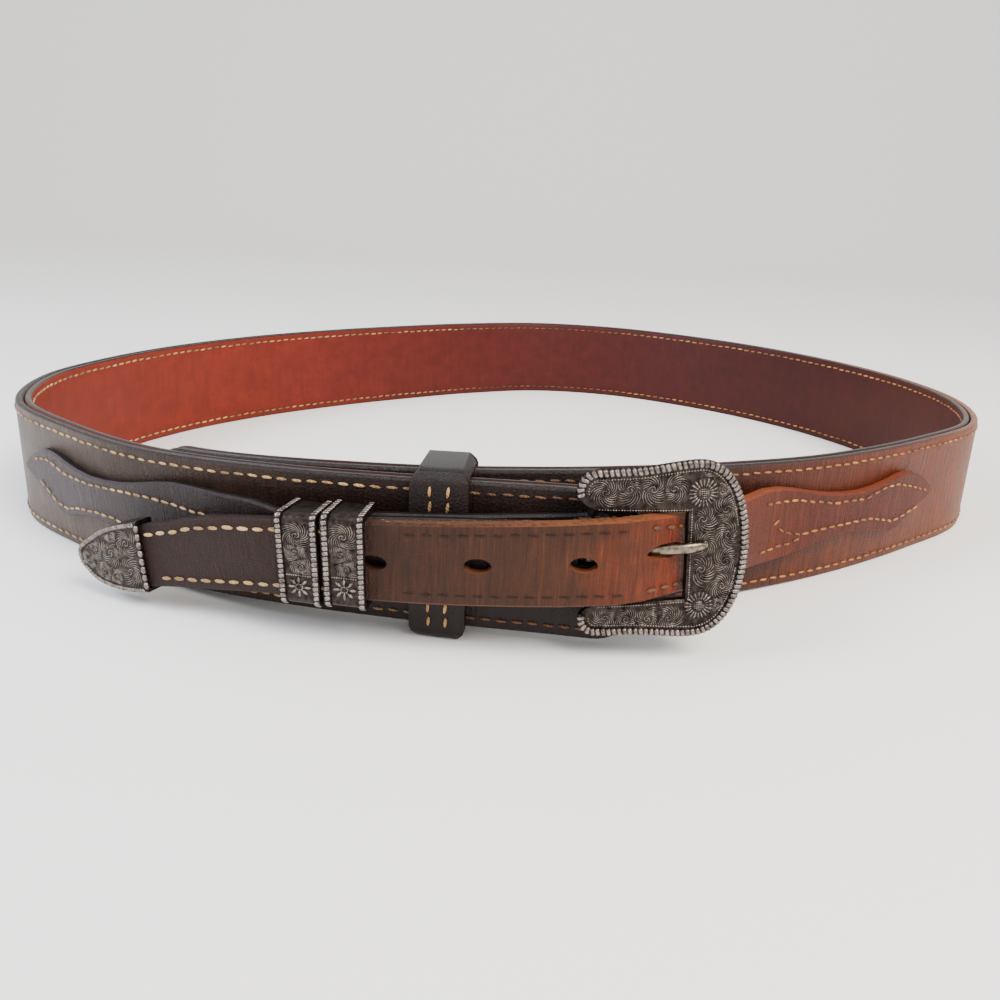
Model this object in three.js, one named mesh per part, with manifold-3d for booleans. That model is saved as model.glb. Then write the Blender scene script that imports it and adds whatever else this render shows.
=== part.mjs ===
// Western leather belt, fastened and standing on its lower edge.
// Millimetres, +Z up, the buckle in front at -Y, the origin at the middle of the foot.

import * as THREE from 'three';
import { mergeVertices } from 'three/addons/utils/BufferGeometryUtils.js';
import Module from 'manifold-3d';

const wasm = await Module();
wasm.setup();

// Base strap: two plies sewn together, its ends lapped at the front
const loopWidth = 343.5;
const loopDepth = 317;
const baseWidth = 38;
const facePly = 2.4;
const liningPly = 2.1;
const plyGap = 0.3;
const lapLength = 140;
const lapOpening = 19;
const lapEndRadius = 11;
const coveredEnd = 6;
const edgeRound = 0.6;

// Billets: two shaped straps sewn on the base
const billetWidth = 20;
const billetThick = 2.4;
const tailThick = 3;
const flareLength = 86;
const sewGap = 0.3;
const leftFlareEnd = 198;
const rightFlareEnd = 887;
const returnEnd = 92;
const foldSlim = 0.88;
const layerGap = 0.3;

// Punched holes in the tail
const holePitch = 24;
const holeLength = 6.4;
const holeWidth = 3.8;
const wornHoleLength = 11.6;
const wornPull = 4.5;
const holeCount = 4;

// Buckle
const heelAt = 19.2;
const buckleLength = 39.6;
const buckleHeight = 43.2;
const armHeight = 40.6;
const windowTop = 10.5;
const windowTopDrop = 1;
const windowFoot = 12.7;
const windowFootRise = 0.4;
const windowLength = 22.2;
const plateThick = 2.2;
const buckleBend = 130;
const buckleRoll = 4.2;
const barRadius = 1.3;
const barClear = 0.5;
const barDrop = 1;
const armReach = 2.9;
const rimRadius = 1.05;
const flowerRadius = 3.6;
const flowerHeight = 0.5;

// Tongue
const tongueWidth = 2.4;
const tongueThick = 1.6;
const tongueReach = 26.6;
const tongueDrop = 0.3;
const tongueLift = 1.5;
const collarWidth = 3;
const collarWall = 1.1;
const tongueClear = 0.3;

// Leather loop round both ends of the base
const loopAt = 55;
const loopBand = 14;
const loopWall = 2.7;
const loopClear = 0.5;
const loopCorner = 3.4;

// Metal keepers round the billets
const keeperWidth = 9.2;
const keeperAt = 74.4;
const keeperSpace = 1;
const keeperWall = 1.15;
const keeperClear = 0.3;
const keeperRim = 0.4;
const keeperRimWidth = 1.5;
const keeperCorner = 1.6;
const keeperCount = 2;

// Metal tip on the end of the tail
const tailEnd = 148.4;
const tipLength = 24;
const tipWall = 0.9;
const tipClear = 0.3;
const tipRim = 0.5;

// What follows from these sizes
const baseThick = facePly + plyGap + liningPly;
const lapGap = layerGap;
const frontRise = loopWall + loopClear;
const foldRadius = barRadius + barClear + billetThick / 2;
const barOut = sewGap + billetThick / 2 + foldRadius;
const billetOut = barOut + foldRadius;
const tailOut = billetOut + billetThick / 2 + layerGap + tailThick / 2;
const returnLifted = loopClear + loopWall + layerGap + billetThick / 2;
const baseMid = baseWidth / 2;
const buckleMid = 5.6;

// Plan of the base's outer face, from the covered end to the left, round the back and to the right:
// x and y as shares of the loop's width and depth, lean as a share of the base's width
const planRows = [
  { x: 0.096, y: -0.502, lean: -0.06 },
  { x: -0.029, y: -0.497, lean: 0.011 },
  { x: -0.154, y: -0.482, lean: 0.1 },
  { x: -0.273, y: -0.437, lean: 0.113 },
  { x: -0.376, y: -0.362, lean: 0.079 },
  { x: -0.465, y: -0.273, lean: 0.013 },
  { x: -0.5, y: -0.149, lean: -0.047 },
  { x: -0.482, y: -0.026, lean: -0.068 },
  { x: -0.439, y: 0.085, lean: -0.061 },
  { x: -0.373, y: 0.189, lean: -0.021 },
  { x: -0.288, y: 0.284, lean: 0.018 },
  { x: -0.192, y: 0.369, lean: 0.042 },
  { x: -0.09, y: 0.445, lean: 0.05 },
  { x: 0.025, y: 0.498, lean: 0.042 },
  { x: 0.151, y: 0.49, lean: 0.032 },
  { x: 0.265, y: 0.43, lean: 0.013 },
  { x: 0.362, y: 0.344, lean: -0.011 },
  { x: 0.438, y: 0.236, lean: -0.034 },
  { x: 0.487, y: 0.111, lean: -0.042 },
  { x: 0.499, y: -0.025, lean: -0.042 },
  { x: 0.46, y: -0.152, lean: -0.011 },
  { x: 0.372, y: -0.244, lean: 0.024 },
  { x: 0.274, y: -0.322, lean: 0.016 },
  { x: 0.167, y: -0.388, lean: -0.03 },
];

// The inner end behind the outer one: back is the place along the lap, gap the space between the layers
const lapRows = [
  { back: 0, gap: 1 },
  { back: 0.18, gap: 0.49 },
  { back: 0.33, gap: 0.26 },
  { back: 0.5, gap: 0.13 },
  { back: 0.68, gap: 0.05 },
  { back: 0.84, gap: 0 },
  { back: 1, gap: 0 },
];

// Outline of each overlay from its point: high and low from the base's middle, in shares of its width
const flareRows = [
  { along: 0, high: 0.09, low: 0.05 },
  { along: 0.03, high: 0.15, low: 0.0 },
  { along: 0.09, high: 0.218, low: -0.05 },
  { along: 0.16, high: 0.28, low: -0.132 },
  { along: 0.23, high: 0.284, low: -0.216 },
  { along: 0.33, high: 0.24, low: -0.168 },
  { along: 0.44, high: 0.212, low: -0.132 },
  { along: 0.56, high: 0.222, low: -0.124 },
  { along: 0.67, high: 0.256, low: -0.168 },
  { along: 0.79, high: 0.31, low: -0.215 },
  { along: 0.91, high: 0.343, low: -0.235 },
  { along: 1, high: 0.33, low: -0.23 },
];

// Height of the straps' middle above the base's middle, in shares of the base's width, and their width
// in shares of the billet's; at counts from the bar to the tail's end, in shares of that length
const strapRows = [
  { at: -0.49, rise: 0.055, wide: 1 },
  { at: -0.285, rise: 0.122, wide: 0.98 },
  { at: -0.17, rise: 0.172, wide: 0.98 },
  { at: -0.108, rise: 0.178, wide: 1.02 },
  { at: -0.02, rise: 0.146, wide: 1.03 },
  { at: 0.06, rise: 0.11, wide: 1.03 },
  { at: 0.2, rise: 0.073, wide: 1.02 },
  { at: 0.36, rise: 0.045, wide: 1.01 },
  { at: 0.546, rise: 0.012, wide: 1 },
  { at: 0.638, rise: -0.006, wide: 1 },
  { at: 0.73, rise: -0.038, wide: 0.98 },
  { at: 0.79, rise: -0.075, wide: 0.9 },
  { at: 0.89, rise: -0.145, wide: 0.87 },
  { at: 1, rise: -0.225, wide: 0.87 },
];

// A smooth curve through one column of a table
function tableValue(rows, at, key) {
  const places = rows.map((row) => row[at]);
  const values = rows.map((row) => row[key]);
  const interpolant = new THREE.CubicInterpolant(places, values, 1);
  const first = rows[0][at];
  const last = rows[rows.length - 1][at];
  return (place) => interpolant.evaluate(THREE.MathUtils.clamp(place, first, last))[0];
}

const strapRise = tableValue(strapRows, 'at', 'rise');
const strapWide = tableValue(strapRows, 'at', 'wide');
const flareHigh = tableValue(flareRows, 'along', 'high');
const flareLow = tableValue(flareRows, 'along', 'low');

// Samples along a strap's way, and the spacing of the sections of straps
const outerSamples = 900;
const runSamples = 1200;
const baseStep = 11;
const strapStep = 11;
const foldZone = 12;
const foldStep = 1.6;
const tailStep = 6.5;

// The front is lifted by the leather loop under it; the belt's own lower edge carries the rest
const riseFlat = loopBand;
const riseReach = 0.33 * loopWidth;

function riseAt(x, y) {
  if (y > 0) return 0;
  const away = Math.abs(x - riseCentre);
  return frontRise * (1 - THREE.MathUtils.smoothstep(away, riseFlat, riseReach));
}

// A run is a strap's way through plan: a smooth curve measured by its length, with an outward normal
function makeRun(rows, samples) {
  const plan = new THREE.CatmullRomCurve3(rows.map((r) => new THREE.Vector3(r.x, r.y, 0)), false, 'centripetal');
  const lean = new THREE.SplineCurve(rows.map((r) => new THREE.Vector2(r.leanX, r.leanY)));
  const points = [];
  let length = 0;
  for (let i = 0; i <= samples; i++) {
    const p = plan.getPoint(i / samples);
    const l = lean.getPoint(i / samples);
    const t = plan.getTangent(i / samples);
    if (i > 0) length += Math.hypot(p.x - points[i - 1].x, p.y - points[i - 1].y);
    points.push({ x: p.x, y: p.y, leanX: l.x, leanY: l.y, nx: -t.y, ny: t.x, length });
  }
  const at = (distance) => {
    let low = 0;
    let high = samples;
    while (high - low > 1) {
      const middle = (low + high) >> 1;
      if (points[middle].length <= distance) low = middle;
      else high = middle;
    }
    const a = points[low];
    const b = points[high];
    const share = (distance - a.length) / (b.length - a.length);
    const mixed = {};
    for (const key of ['x', 'y', 'leanX', 'leanY', 'nx', 'ny']) mixed[key] = a[key] + (b[key] - a[key]) * share;
    return mixed;
  };
  return { at, length };
}

// A place on a run: its distance along, the distance out from the run and the height
function place(run, distance, out, height) {
  const s = run.at(distance);
  const share = height / baseWidth - 0.5;
  const x = s.x + s.nx * out + s.leanX * share;
  const y = s.y + s.ny * out + s.leanY * share;
  return new THREE.Vector3(x, y, height + riseAt(s.x, s.y));
}

// A strap's section: each corner is cut, and the four sides can be set apart
const sectionCorners = [[-1, -2], [1, -2], [2, -1], [2, 1], [1, 2], [-1, 2], [-2, 1], [-2, -1]];
const sectionShape = new THREE.Shape(sectionCorners.map(([x, y]) => new THREE.Vector2(x, y)));

// A solid through stations, each with inner and outer faces, low and high edges and a rounding;
// crossed turns the diagonals of its walls, so that two plies side by side share theirs
function stationSolid(stations, placeOf, crossed = false) {
  const steps = stations.length - 1;
  const geometry = new THREE.ExtrudeGeometry(sectionShape, { depth: steps, steps, bevelEnabled: false });
  const position = geometry.attributes.position;
  for (let i = 0; i < position.count; i++) {
    const step = Math.round(position.getZ(i));
    const station = stations[crossed ? steps - step : step];
    const side = position.getX(i);
    const edge = position.getY(i);
    const round = Math.min(station.round, (station.high - station.low) / 3, (station.outer - station.inner) / 3);
    const sideCut = Math.abs(side) > 1.5 ? 0 : round;
    const edgeCut = Math.abs(edge) > 1.5 ? 0 : round;
    const out = side > 0 ? station.outer - sideCut : station.inner + sideCut;
    const height = edge > 0 ? station.high - edgeCut : station.low + edgeCut;
    const p = placeOf(station.at, out, height);
    position.setXYZ(i, p.x, p.y, p.z);
  }
  if (crossed) turnFaces(position);
  return geometry;
}

function turnFaces(position) {
  const second = new THREE.Vector3();
  const third = new THREE.Vector3();
  for (let i = 0; i < position.count; i += 3) {
    second.fromBufferAttribute(position, i + 1);
    third.fromBufferAttribute(position, i + 2);
    position.setXYZ(i + 1, third.x, third.y, third.z);
    position.setXYZ(i + 2, second.x, second.y, second.z);
  }
}

// A ring round straps: an outline with rounded corners and a hole, set along a run
function ringSolid(run, from, to, box, wall, corner) {
  const rounded = (target, x0, y0, x1, y1, r) => {
    target.moveTo(x0 + r, y0);
    target.lineTo(x1 - r, y0);
    target.absarc(x1 - r, y0 + r, r, -Math.PI / 2, 0, false);
    target.lineTo(x1, y1 - r);
    target.absarc(x1 - r, y1 - r, r, 0, Math.PI / 2, false);
    target.lineTo(x0 + r, y1);
    target.absarc(x0 + r, y1 - r, r, Math.PI / 2, Math.PI, false);
    target.lineTo(x0, y0 + r);
    target.absarc(x0 + r, y0 + r, r, Math.PI, Math.PI * 1.5, false);
    return target;
  };
  const innerCorner = Math.max(corner - wall, 0.3);
  const outline = rounded(new THREE.Shape(), box.inner - wall, box.low - wall, box.outer + wall, box.high + wall, corner);
  outline.holes.push(rounded(new THREE.Path(), box.inner, box.low, box.outer, box.high, innerCorner));
  const steps = 3;
  const options = { depth: steps, steps, bevelEnabled: false, curveSegments: 2 };
  const geometry = new THREE.ExtrudeGeometry(outline, options);
  const position = geometry.attributes.position;
  for (let i = 0; i < position.count; i++) {
    const distance = from + (to - from) * (position.getZ(i) / steps);
    const p = place(run, distance, position.getX(i), position.getY(i));
    position.setXYZ(i, p.x, p.y, p.z);
  }
  return geometry;
}

// Joining and cutting
function toManifold(geometry) {
  const bare = new THREE.BufferGeometry();
  bare.setAttribute('position', geometry.attributes.position.clone());
  if (geometry.index) bare.setIndex(geometry.index.clone());
  const merged = mergeVertices(bare, 1e-4);
  const vertProperties = Float32Array.from(merged.attributes.position.array);
  const triVerts = Uint32Array.from(merged.index.array);
  return new wasm.Manifold(new wasm.Mesh({ numProp: 3, vertProperties, triVerts }));
}

function toGeometry(manifold) {
  const mesh = manifold.getMesh();
  const geometry = new THREE.BufferGeometry();
  geometry.setAttribute('position', new THREE.BufferAttribute(Float32Array.from(mesh.vertProperties), 3));
  geometry.setIndex(new THREE.BufferAttribute(Uint32Array.from(mesh.triVerts), 1));
  geometry.computeVertexNormals();
  return geometry;
}

function union(geometries) {
  return geometries.map(toManifold).reduce((all, next) => all.add(next));
}

function evenly(from, to, spacing) {
  const count = Math.max(1, Math.round(Math.abs(to - from) / spacing));
  return Array.from({ length: count + 1 }, (_, i) => from + ((to - from) * i) / count);
}

// The outer run: the base's outer face once round
function leanVector(row, next, last) {
  const direction = new THREE.Vector2(next.x - last.x, next.y - last.y).normalize();
  const lean = row.lean * baseWidth;
  return { leanX: -direction.y * lean, leanY: direction.x * lean };
}

const planPoints = planRows.map((row) => ({ x: row.x * loopWidth, y: row.y * loopDepth, lean: row.lean }));
const outerRows = planPoints.map((row, i) => {
  const last = planPoints[Math.max(i - 1, 0)];
  const next = planPoints[Math.min(i + 1, planPoints.length - 1)];
  return { x: row.x, y: row.y, ...leanVector(row, next, last) };
});
const outerRun = makeRun(outerRows, outerSamples);
const riseCentre = outerRun.at(loopAt).x;

// A point of another strap given by its place on the outer run, also a little before its start
function follow(distance, out) {
  const inside = Math.max(distance, 0);
  const s = outerRun.at(inside);
  const before = distance - inside;
  const x = s.x + s.nx * out + s.ny * before;
  const y = s.y + s.ny * out - s.nx * before;
  return { x, y, leanX: s.leanX, leanY: s.leanY };
}

function lapOut(row) {
  return -(baseThick + lapGap + row.gap * lapOpening);
}

const lapPoints = lapRows.map((row) => follow(row.back * lapLength, lapOut(row)));
const baseRun = makeRun([...outerRows, ...lapPoints], runSamples);

// Base plies
// Both ends of the base are rounded, through a few sections at shares of the radius
const cornerShares = [0, 0.06, 0.25, 0.5, 0.75, 1];

function basePly(inner, outer, crossed) {
  const end = baseRun.length;
  const firstCorner = cornerShares.map((share) => coveredEnd + lapEndRadius * share);
  const lastCorner = cornerShares.map((share) => end - lapEndRadius * share).reverse();
  const straight = evenly(coveredEnd + lapEndRadius, end - lapEndRadius, baseStep).slice(1, -1);
  const stations = [...firstCorner, ...straight, ...lastCorner].map((at) => {
    const into = Math.max(lapEndRadius - Math.min(end - at, at - coveredEnd), 0);
    const cut = lapEndRadius - Math.sqrt(lapEndRadius ** 2 - into ** 2);
    return { at, inner, outer, low: cut, high: baseWidth - cut, round: edgeRound };
  });
  return stationSolid(stations, (at, out, height) => place(baseRun, at, out, height), crossed);
}

const faceGeometry = basePly(-facePly, 0, false);
const liningGeometry = basePly(-baseThick, -(facePly + plyGap), true);

// Heights and widths of the straps: at counts from the heel bar to the tail's end
const freeLength = tailEnd - heelAt;

function strapMid(distance) {
  return baseMid + strapRise((distance - heelAt) / freeLength) * baseWidth;
}

function strapHalf(distance) {
  return (strapWide((distance - heelAt) / freeLength) * billetWidth) / 2;
}

// Outline of an overlay at a distance from its point, passing into the strap
function flareEdges(fromPoint, mid, half) {
  const share = fromPoint / flareLength;
  const high = baseMid + flareHigh(share) * baseWidth;
  const low = baseMid + flareLow(share) * baseWidth;
  const blend = THREE.MathUtils.smoothstep(share, 0.88, 1.25);
  return {
    high: THREE.MathUtils.lerp(high, mid + half, blend),
    low: THREE.MathUtils.lerp(low, mid - half, blend),
  };
}

const flarePlaces = [
  0, 0.015, 0.05, 0.09, 0.13, 0.17, 0.21, 0.25, 0.31, 0.38, 0.46, 0.54, 0.62, 0.7, 0.78, 0.86, 0.94,
];

// Buckle billet: return, fold round the heel bar, front layer and overlay
// at is the place along the outer run, out the middle of the leather above the base
const sewnOut = sewGap + billetThick / 2;
const foldStart = heelAt + 7;
const billetBack = [
  { at: returnEnd, out: barOut },
  { at: keeperAt + keeperWidth, out: barOut },
  { at: loopAt + loopBand * 0.8, out: returnLifted },
  { at: loopAt - loopBand * 0.55, out: returnLifted },
  { at: foldStart + 8, out: sewnOut + 0.9 },
  { at: foldStart, out: barOut - foldRadius },
];
const billetFront = [
  { at: foldStart, out: billetOut },
  { at: foldStart + 10, out: billetOut },
  { at: loopAt, out: returnLifted + billetThick + layerGap },
  { at: keeperAt - keeperWidth / 2, out: billetOut },
  { at: keeperAt + keeperWidth * 1.7, out: billetOut },
  { at: leftFlareEnd - flareLength - 2, out: billetOut * 0.62 },
  { at: leftFlareEnd - flareLength * 0.86, out: sewnOut + 0.5 },
  { at: leftFlareEnd - flareLength * 0.7, out: sewnOut },
  { at: leftFlareEnd - flareLength * 0.45, out: sewnOut },
  { at: leftFlareEnd - flareLength * 0.22, out: sewnOut },
  { at: leftFlareEnd, out: sewnOut },
];
const foldTurns = [0, 30, 60, 90, 120, 150, 180].map((degrees) => {
  const angle = THREE.MathUtils.degToRad(degrees);
  return { at: heelAt - Math.sin(angle) * foldRadius, out: barOut - Math.cos(angle) * foldRadius };
});
const billetRoute = [...billetBack, ...foldTurns, ...billetFront];
const billetRun = makeRun(billetRoute.map((row) => follow(row.at, row.out)), runSamples);

// Distance along a run where it comes nearest a given place
function distanceNear(run, target, from, to) {
  let best = from;
  let least = Infinity;
  for (let d = from; d <= to; d += 0.1) {
    const s = run.at(d);
    const gap = Math.hypot(s.x - target.x, s.y - target.y);
    if (gap < least) {
      least = gap;
      best = d;
    }
  }
  return best;
}

const foldMiddle = distanceNear(billetRun, follow(heelAt - foldRadius, barOut), 0, billetRun.length);

// The part of the outer run that the buckle billet can lie over
const frontLength = leftFlareEnd + 32;

// The straps rise towards the bar alike on both layers, so height follows the place on the outer run
function outerPlace(run, distance) {
  const s = run.at(distance);
  return distanceNear(outerRun, s, 0, frontLength);
}

function billetStations() {
  const flareStart = billetRun.length - flareLength;
  const straight = [
    ...evenly(0, foldMiddle - foldZone, strapStep).slice(0, -1),
    ...evenly(foldMiddle - foldZone, foldMiddle + foldZone, foldStep).slice(0, -1),
    ...evenly(foldMiddle + foldZone, flareStart + flareLength * 0.06, strapStep).slice(0, -1),
  ];
  const flare = flarePlaces.map((share) => billetRun.length - share * flareLength).reverse();
  const half = billetThick / 2;
  return [...straight, ...flare].map((at) => {
    const over = outerPlace(billetRun, at);
    const slim = THREE.MathUtils.lerp(foldSlim, 1, THREE.MathUtils.smoothstep(over, heelAt, loopAt));
    const edges = flareEdges(billetRun.length - at, billetMid(over), strapHalf(over) * slim);
    return { at, inner: -half, outer: half, ...edges, round: edgeRound };
  });
}

function billetMid(distance) {
  const left = keeperAt + keeperWidth * 2;
  const lift = THREE.MathUtils.smoothstep(distance, left - 3, left + 8) * 0.08;
  return strapMid(Math.min(distance, left)) + lift * baseWidth;
}

// Buckle's own frame: u from the bar to the curved end, v up, w outward; its plate is bent and rolled
const barStation = outerRun.at(heelAt);
const buckleAlong = new THREE.Vector3(-barStation.ny, barStation.nx, 0);
const buckleUp = new THREE.Vector3(0, 0, 1);
const buckleOut = new THREE.Vector3().crossVectors(buckleAlong, buckleUp);
const buckleFrame = new THREE.Matrix4().makeBasis(buckleAlong, buckleUp, buckleOut);
buckleFrame.setPosition(place(outerRun, heelAt, barOut, baseMid + buckleMid));
const roll = new THREE.Matrix4().makeRotationZ(THREE.MathUtils.degToRad(buckleRoll));
const rolledFrame = buckleFrame.clone().multiply(roll);

function bentPoint(u, v, w) {
  const angle = u / buckleBend;
  const radius = buckleBend + w;
  const p = new THREE.Vector3(Math.sin(angle) * radius, v, Math.cos(angle) * radius - buckleBend);
  return p.applyMatrix4(rolledFrame);
}

// The slot in the fold that lets the tongue through
const collarInner = barRadius + tongueClear;
const collarOuter = collarInner + collarWall;

function slotCutter() {
  const left = collarOuter + tongueClear;
  const right = foldRadius + billetThick;
  const box = new THREE.BoxGeometry(left + right, collarWidth + 2 * tongueClear, 2 * right);
  box.translate((right - left) / 2, 0, 0);
  box.applyMatrix4(buckleFrame);
  return box;
}

const billetBody = stationSolid(billetStations(), (at, out, height) => place(billetRun, at, out, height));
const billetSolid = toManifold(billetBody).subtract(toManifold(slotCutter()));

// Tail billet: overlay on the right, up through the buckle, over the bar and through the keepers
const tailSewn = sewGap + tailThick / 2;
const tailRight = [
  { share: 0, out: 0 },
  { share: 0.2, out: 0 },
  { share: 0.4, out: 0 },
  { share: 0.6, out: 0 },
  { share: 0.76, out: 0.05 },
  { share: 0.87, out: 0.7 },
  { share: 0.965, out: 2.4 },
  { share: 1.06, out: 5.2 },
].map((row) => ({ at: rightFlareEnd + row.share * flareLength, out: tailSewn + row.out }));
const tailFront = [
  { at: heelAt - 37, out: tailOut - 31.5 },
  { at: heelAt - 33, out: tailOut - 25.4 },
  { at: heelAt - 29, out: tailOut - 19.6 },
  { at: heelAt - 25, out: tailOut - 14.3 },
  { at: heelAt - 21, out: tailOut - 9.4 },
  { at: heelAt - 16, out: tailOut - 4.7 },
  { at: heelAt - 11, out: tailOut - 1.6 },
  { at: heelAt - 6, out: tailOut - 0.2 },
  { at: heelAt, out: tailOut },
  { at: heelAt + 10, out: tailOut },
  { at: loopAt, out: tailOut + 0.35 },
  { at: keeperAt - keeperWidth / 2, out: tailOut },
  { at: keeperAt + keeperWidth * 1.7, out: tailOut },
  { at: tailEnd * 0.75, out: tailOut + 0.6 },
  { at: tailEnd * 0.87, out: tailOut + 1.2 },
  { at: tailEnd, out: tailOut + 2.2 },
];
const tailRows = [...tailRight, ...tailFront].map((row) => follow(row.at, row.out));
const tailRun = makeRun(tailRows, runSamples);

const tailAtHeel = distanceNear(tailRun, follow(heelAt, tailOut), flareLength, tailRun.length);

function tailPlace(distance) {
  return heelAt + distance - tailAtHeel;
}

const tipRoom = tipWall + tipClear + tipRim;

// The tip's outline is a blunt pointed arch
const tipPower = 2.2;
const tipBluntness = 0.62;

function tipOutline(fromEnd, half, length) {
  const share = THREE.MathUtils.clamp(1 - fromEnd / length, 0, 1);
  return half * Math.pow(Math.max(1 - share ** tipPower, 0), tipBluntness);
}

function tailStations() {
  const end = tailRun.length - tipRoom;
  const half = tailThick / 2;
  const flare = flarePlaces.map((share) => share * flareLength);
  const middle = evenly(flareLength * 1.02, end - tipLength * 0.7, tailStep).slice(0, -1);
  const last = [0.7, 0.5, 0.3, 0.15, 0.06, 0.01].map((share) => end - tipLength * share);
  return [...flare, ...middle, ...last].map((at) => {
    const over = tailPlace(at);
    const mid = strapMid(over);
    const wide = strapHalf(over);
    const edges = flareEdges(at, mid, wide);
    const fromEnd = tailRun.length - at;
    if (fromEnd < tipLength) {
      const reduced = tipOutline(fromEnd - tipRoom, wide, tipLength - tipRoom);
      edges.high = mid + reduced;
      edges.low = mid - reduced;
    }
    return { at, inner: -half, outer: half, ...edges, round: edgeRound };
  });
}

// Each hole is an oval punched square to the leather
function holeCutter(distance, height, length) {
  const oval = new THREE.Shape();
  oval.absellipse(0, 0, length / 2, holeWidth / 2, 0, Math.PI * 2, false, 0);
  const depth = tailThick * 3;
  const geometry = new THREE.ExtrudeGeometry(oval, { depth, bevelEnabled: false, curveSegments: 7 });
  geometry.translate(0, 0, -depth / 2);
  const s = tailRun.at(distance);
  const outward = new THREE.Vector3(s.nx, s.ny, 0).normalize();
  const up = new THREE.Vector3(0, 0, 1);
  const along = new THREE.Vector3().crossVectors(up, outward);
  const frame = new THREE.Matrix4().makeBasis(along, up, outward);
  frame.setPosition(place(tailRun, distance, 0, height));
  geometry.applyMatrix4(frame);
  return geometry;
}

// Height of the buckle's outer edge: level arms, then the round end
const curvedEnd = buckleLength - armReach;

function outerEdge(u) {
  const swell = THREE.MathUtils.smoothstep(u, windowLength * 0.35, windowLength * 1.1);
  const half = THREE.MathUtils.lerp(armHeight / 2, buckleHeight / 2, swell);
  const start = windowLength * 1.02;
  if (u <= start) return half;
  const share = (u - start) / (curvedEnd - start);
  return half * Math.pow(Math.max(1 - share ** 2.5, 0), 0.48);
}

// Arms end in a half round of the arm's own width
function windowEdge(u, side) {
  const share = THREE.MathUtils.clamp(u / windowLength, 0, 1);
  return side > 0 ? windowTop - windowTopDrop * share : windowFoot - windowFootRise * share;
}

function armEdges(u, side) {
  const inner = windowEdge(u, side);
  const outer = outerEdge(u);
  const radius = (outer - inner) / 2;
  const share = THREE.MathUtils.clamp(1 - (u + armReach) / (radius * 1.1), 0, 1);
  const width = radius * Math.sqrt(1 - share * share);
  const mid = (outer + inner) / 2;
  return side > 0 ? { low: mid - width, high: mid + width } : { low: -mid - width, high: -mid + width };
}

const plateBack = barDrop - plateThick / 2;
const plateFront = barDrop + plateThick / 2;

function plateStation(at, low, high) {
  return { at, low, high, inner: plateBack, outer: plateFront, round: 0.35 };
}

function arm(side) {
  const roundPlaces = [0.12, 0.8, 2, 3.6].map((beyond) => beyond - armReach);
  const places = [...roundPlaces, 1.4, ...evenly(3.2, windowLength + 1, 4.4)];
  const stations = places.map((u) => {
    const edges = armEdges(u, side);
    return plateStation(u, edges.low, edges.high);
  });
  return stationSolid(stations.reverse(), (u, w, v) => bentPoint(u, v, w));
}

function curvedPlate() {
  const shares = [0, 0.2, 0.4, 0.58, 0.74, 0.86, 0.94, 0.985];
  const stations = shares.map((share) => {
    const u = windowLength + (curvedEnd - windowLength) * share;
    const half = outerEdge(u);
    return plateStation(u, -half, half);
  });
  return stationSolid(stations.reverse(), (u, w, v) => bentPoint(u, v, w));
}

// The raised rope rim runs round the outer edge from one arm's inner corner to the other's
function rimHalf(side) {
  const inset = rimRadius * 0.55;
  const outer = outerEdge(0);
  const radius = (outer - windowEdge(0, side)) / 2;
  const half = [];
  for (const degrees of [205, 180, 150, 120, 98]) {
    const angle = THREE.MathUtils.degToRad(degrees);
    const r = radius - inset;
    half.push([radius * 1.1 - armReach + Math.cos(angle) * r * 1.1, outer - radius + Math.sin(angle) * r]);
  }
  for (const u of evenly(radius * 1.3, windowLength * 1.05, 4)) half.push([u, outerEdge(u) - inset]);
  for (const share of [0.22, 0.42, 0.6, 0.75, 0.87, 0.95]) {
    const start = windowLength * 1.05;
    const u = start + (curvedEnd - start) * share;
    half.push([u - inset * share, outerEdge(u) - inset * (1 - share * 0.6)]);
  }
  return half.map(([u, v]) => [u, v * side]);
}

function rimPath() {
  const points = [...rimHalf(1), [curvedEnd - rimRadius * 0.55, 0], ...rimHalf(-1).reverse()];
  return new THREE.CatmullRomCurve3(points.map(([u, v]) => new THREE.Vector3(u, v, 0)), false, 'centripetal');
}

function ropeRim() {
  const section = new THREE.Shape();
  section.absarc(0, 0, rimRadius, 0, Math.PI * 2, false);
  const options = { steps: 64, extrudePath: rimPath(), bevelEnabled: false, curveSegments: 4 };
  const geometry = new THREE.ExtrudeGeometry(section, options);
  const position = geometry.attributes.position;
  for (let i = 0; i < position.count; i++) {
    const w = position.getZ(i) + plateFront - rimRadius * 0.35;
    const p = bentPoint(position.getX(i), position.getY(i), w);
    position.setXYZ(i, p.x, p.y, p.z);
  }
  return geometry;
}

function bentLathe(profile, u, v, w, segments) {
  const geometry = new THREE.LatheGeometry(profile.map(([r, y]) => new THREE.Vector2(r, y)), segments);
  geometry.rotateX(Math.PI / 2);
  const position = geometry.attributes.position;
  for (let i = 0; i < position.count; i++) {
    const p = bentPoint(u + position.getX(i), v + position.getY(i), w + position.getZ(i));
    position.setXYZ(i, p.x, p.y, p.z);
  }
  return geometry;
}

function flowers() {
  const profile = [[0, -0.6], [flowerRadius, -0.6], [flowerRadius, 0.1], [flowerRadius * 0.7, flowerHeight],
    [flowerRadius * 0.55, flowerHeight * 0.6], [flowerRadius * 0.3, flowerHeight], [0, flowerHeight * 1.3]];
  const u = windowLength + 3.2;
  const v = buckleHeight * 0.325;
  return [bentLathe(profile, u, v, plateFront, 16), bentLathe(profile, u, -v, plateFront, 16)];
}

function heelBar() {
  const length = windowTop + windowFoot + 3;
  const geometry = new THREE.CylinderGeometry(barRadius, barRadius, length, 12);
  geometry.translate(0, (windowTop - windowFoot) / 2, 0);
  geometry.applyMatrix4(buckleFrame);
  return geometry;
}

const buckleSolid = union([arm(1), arm(-1), curvedPlate(), ropeRim(), ...flowers(), heelBar()]);

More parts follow.
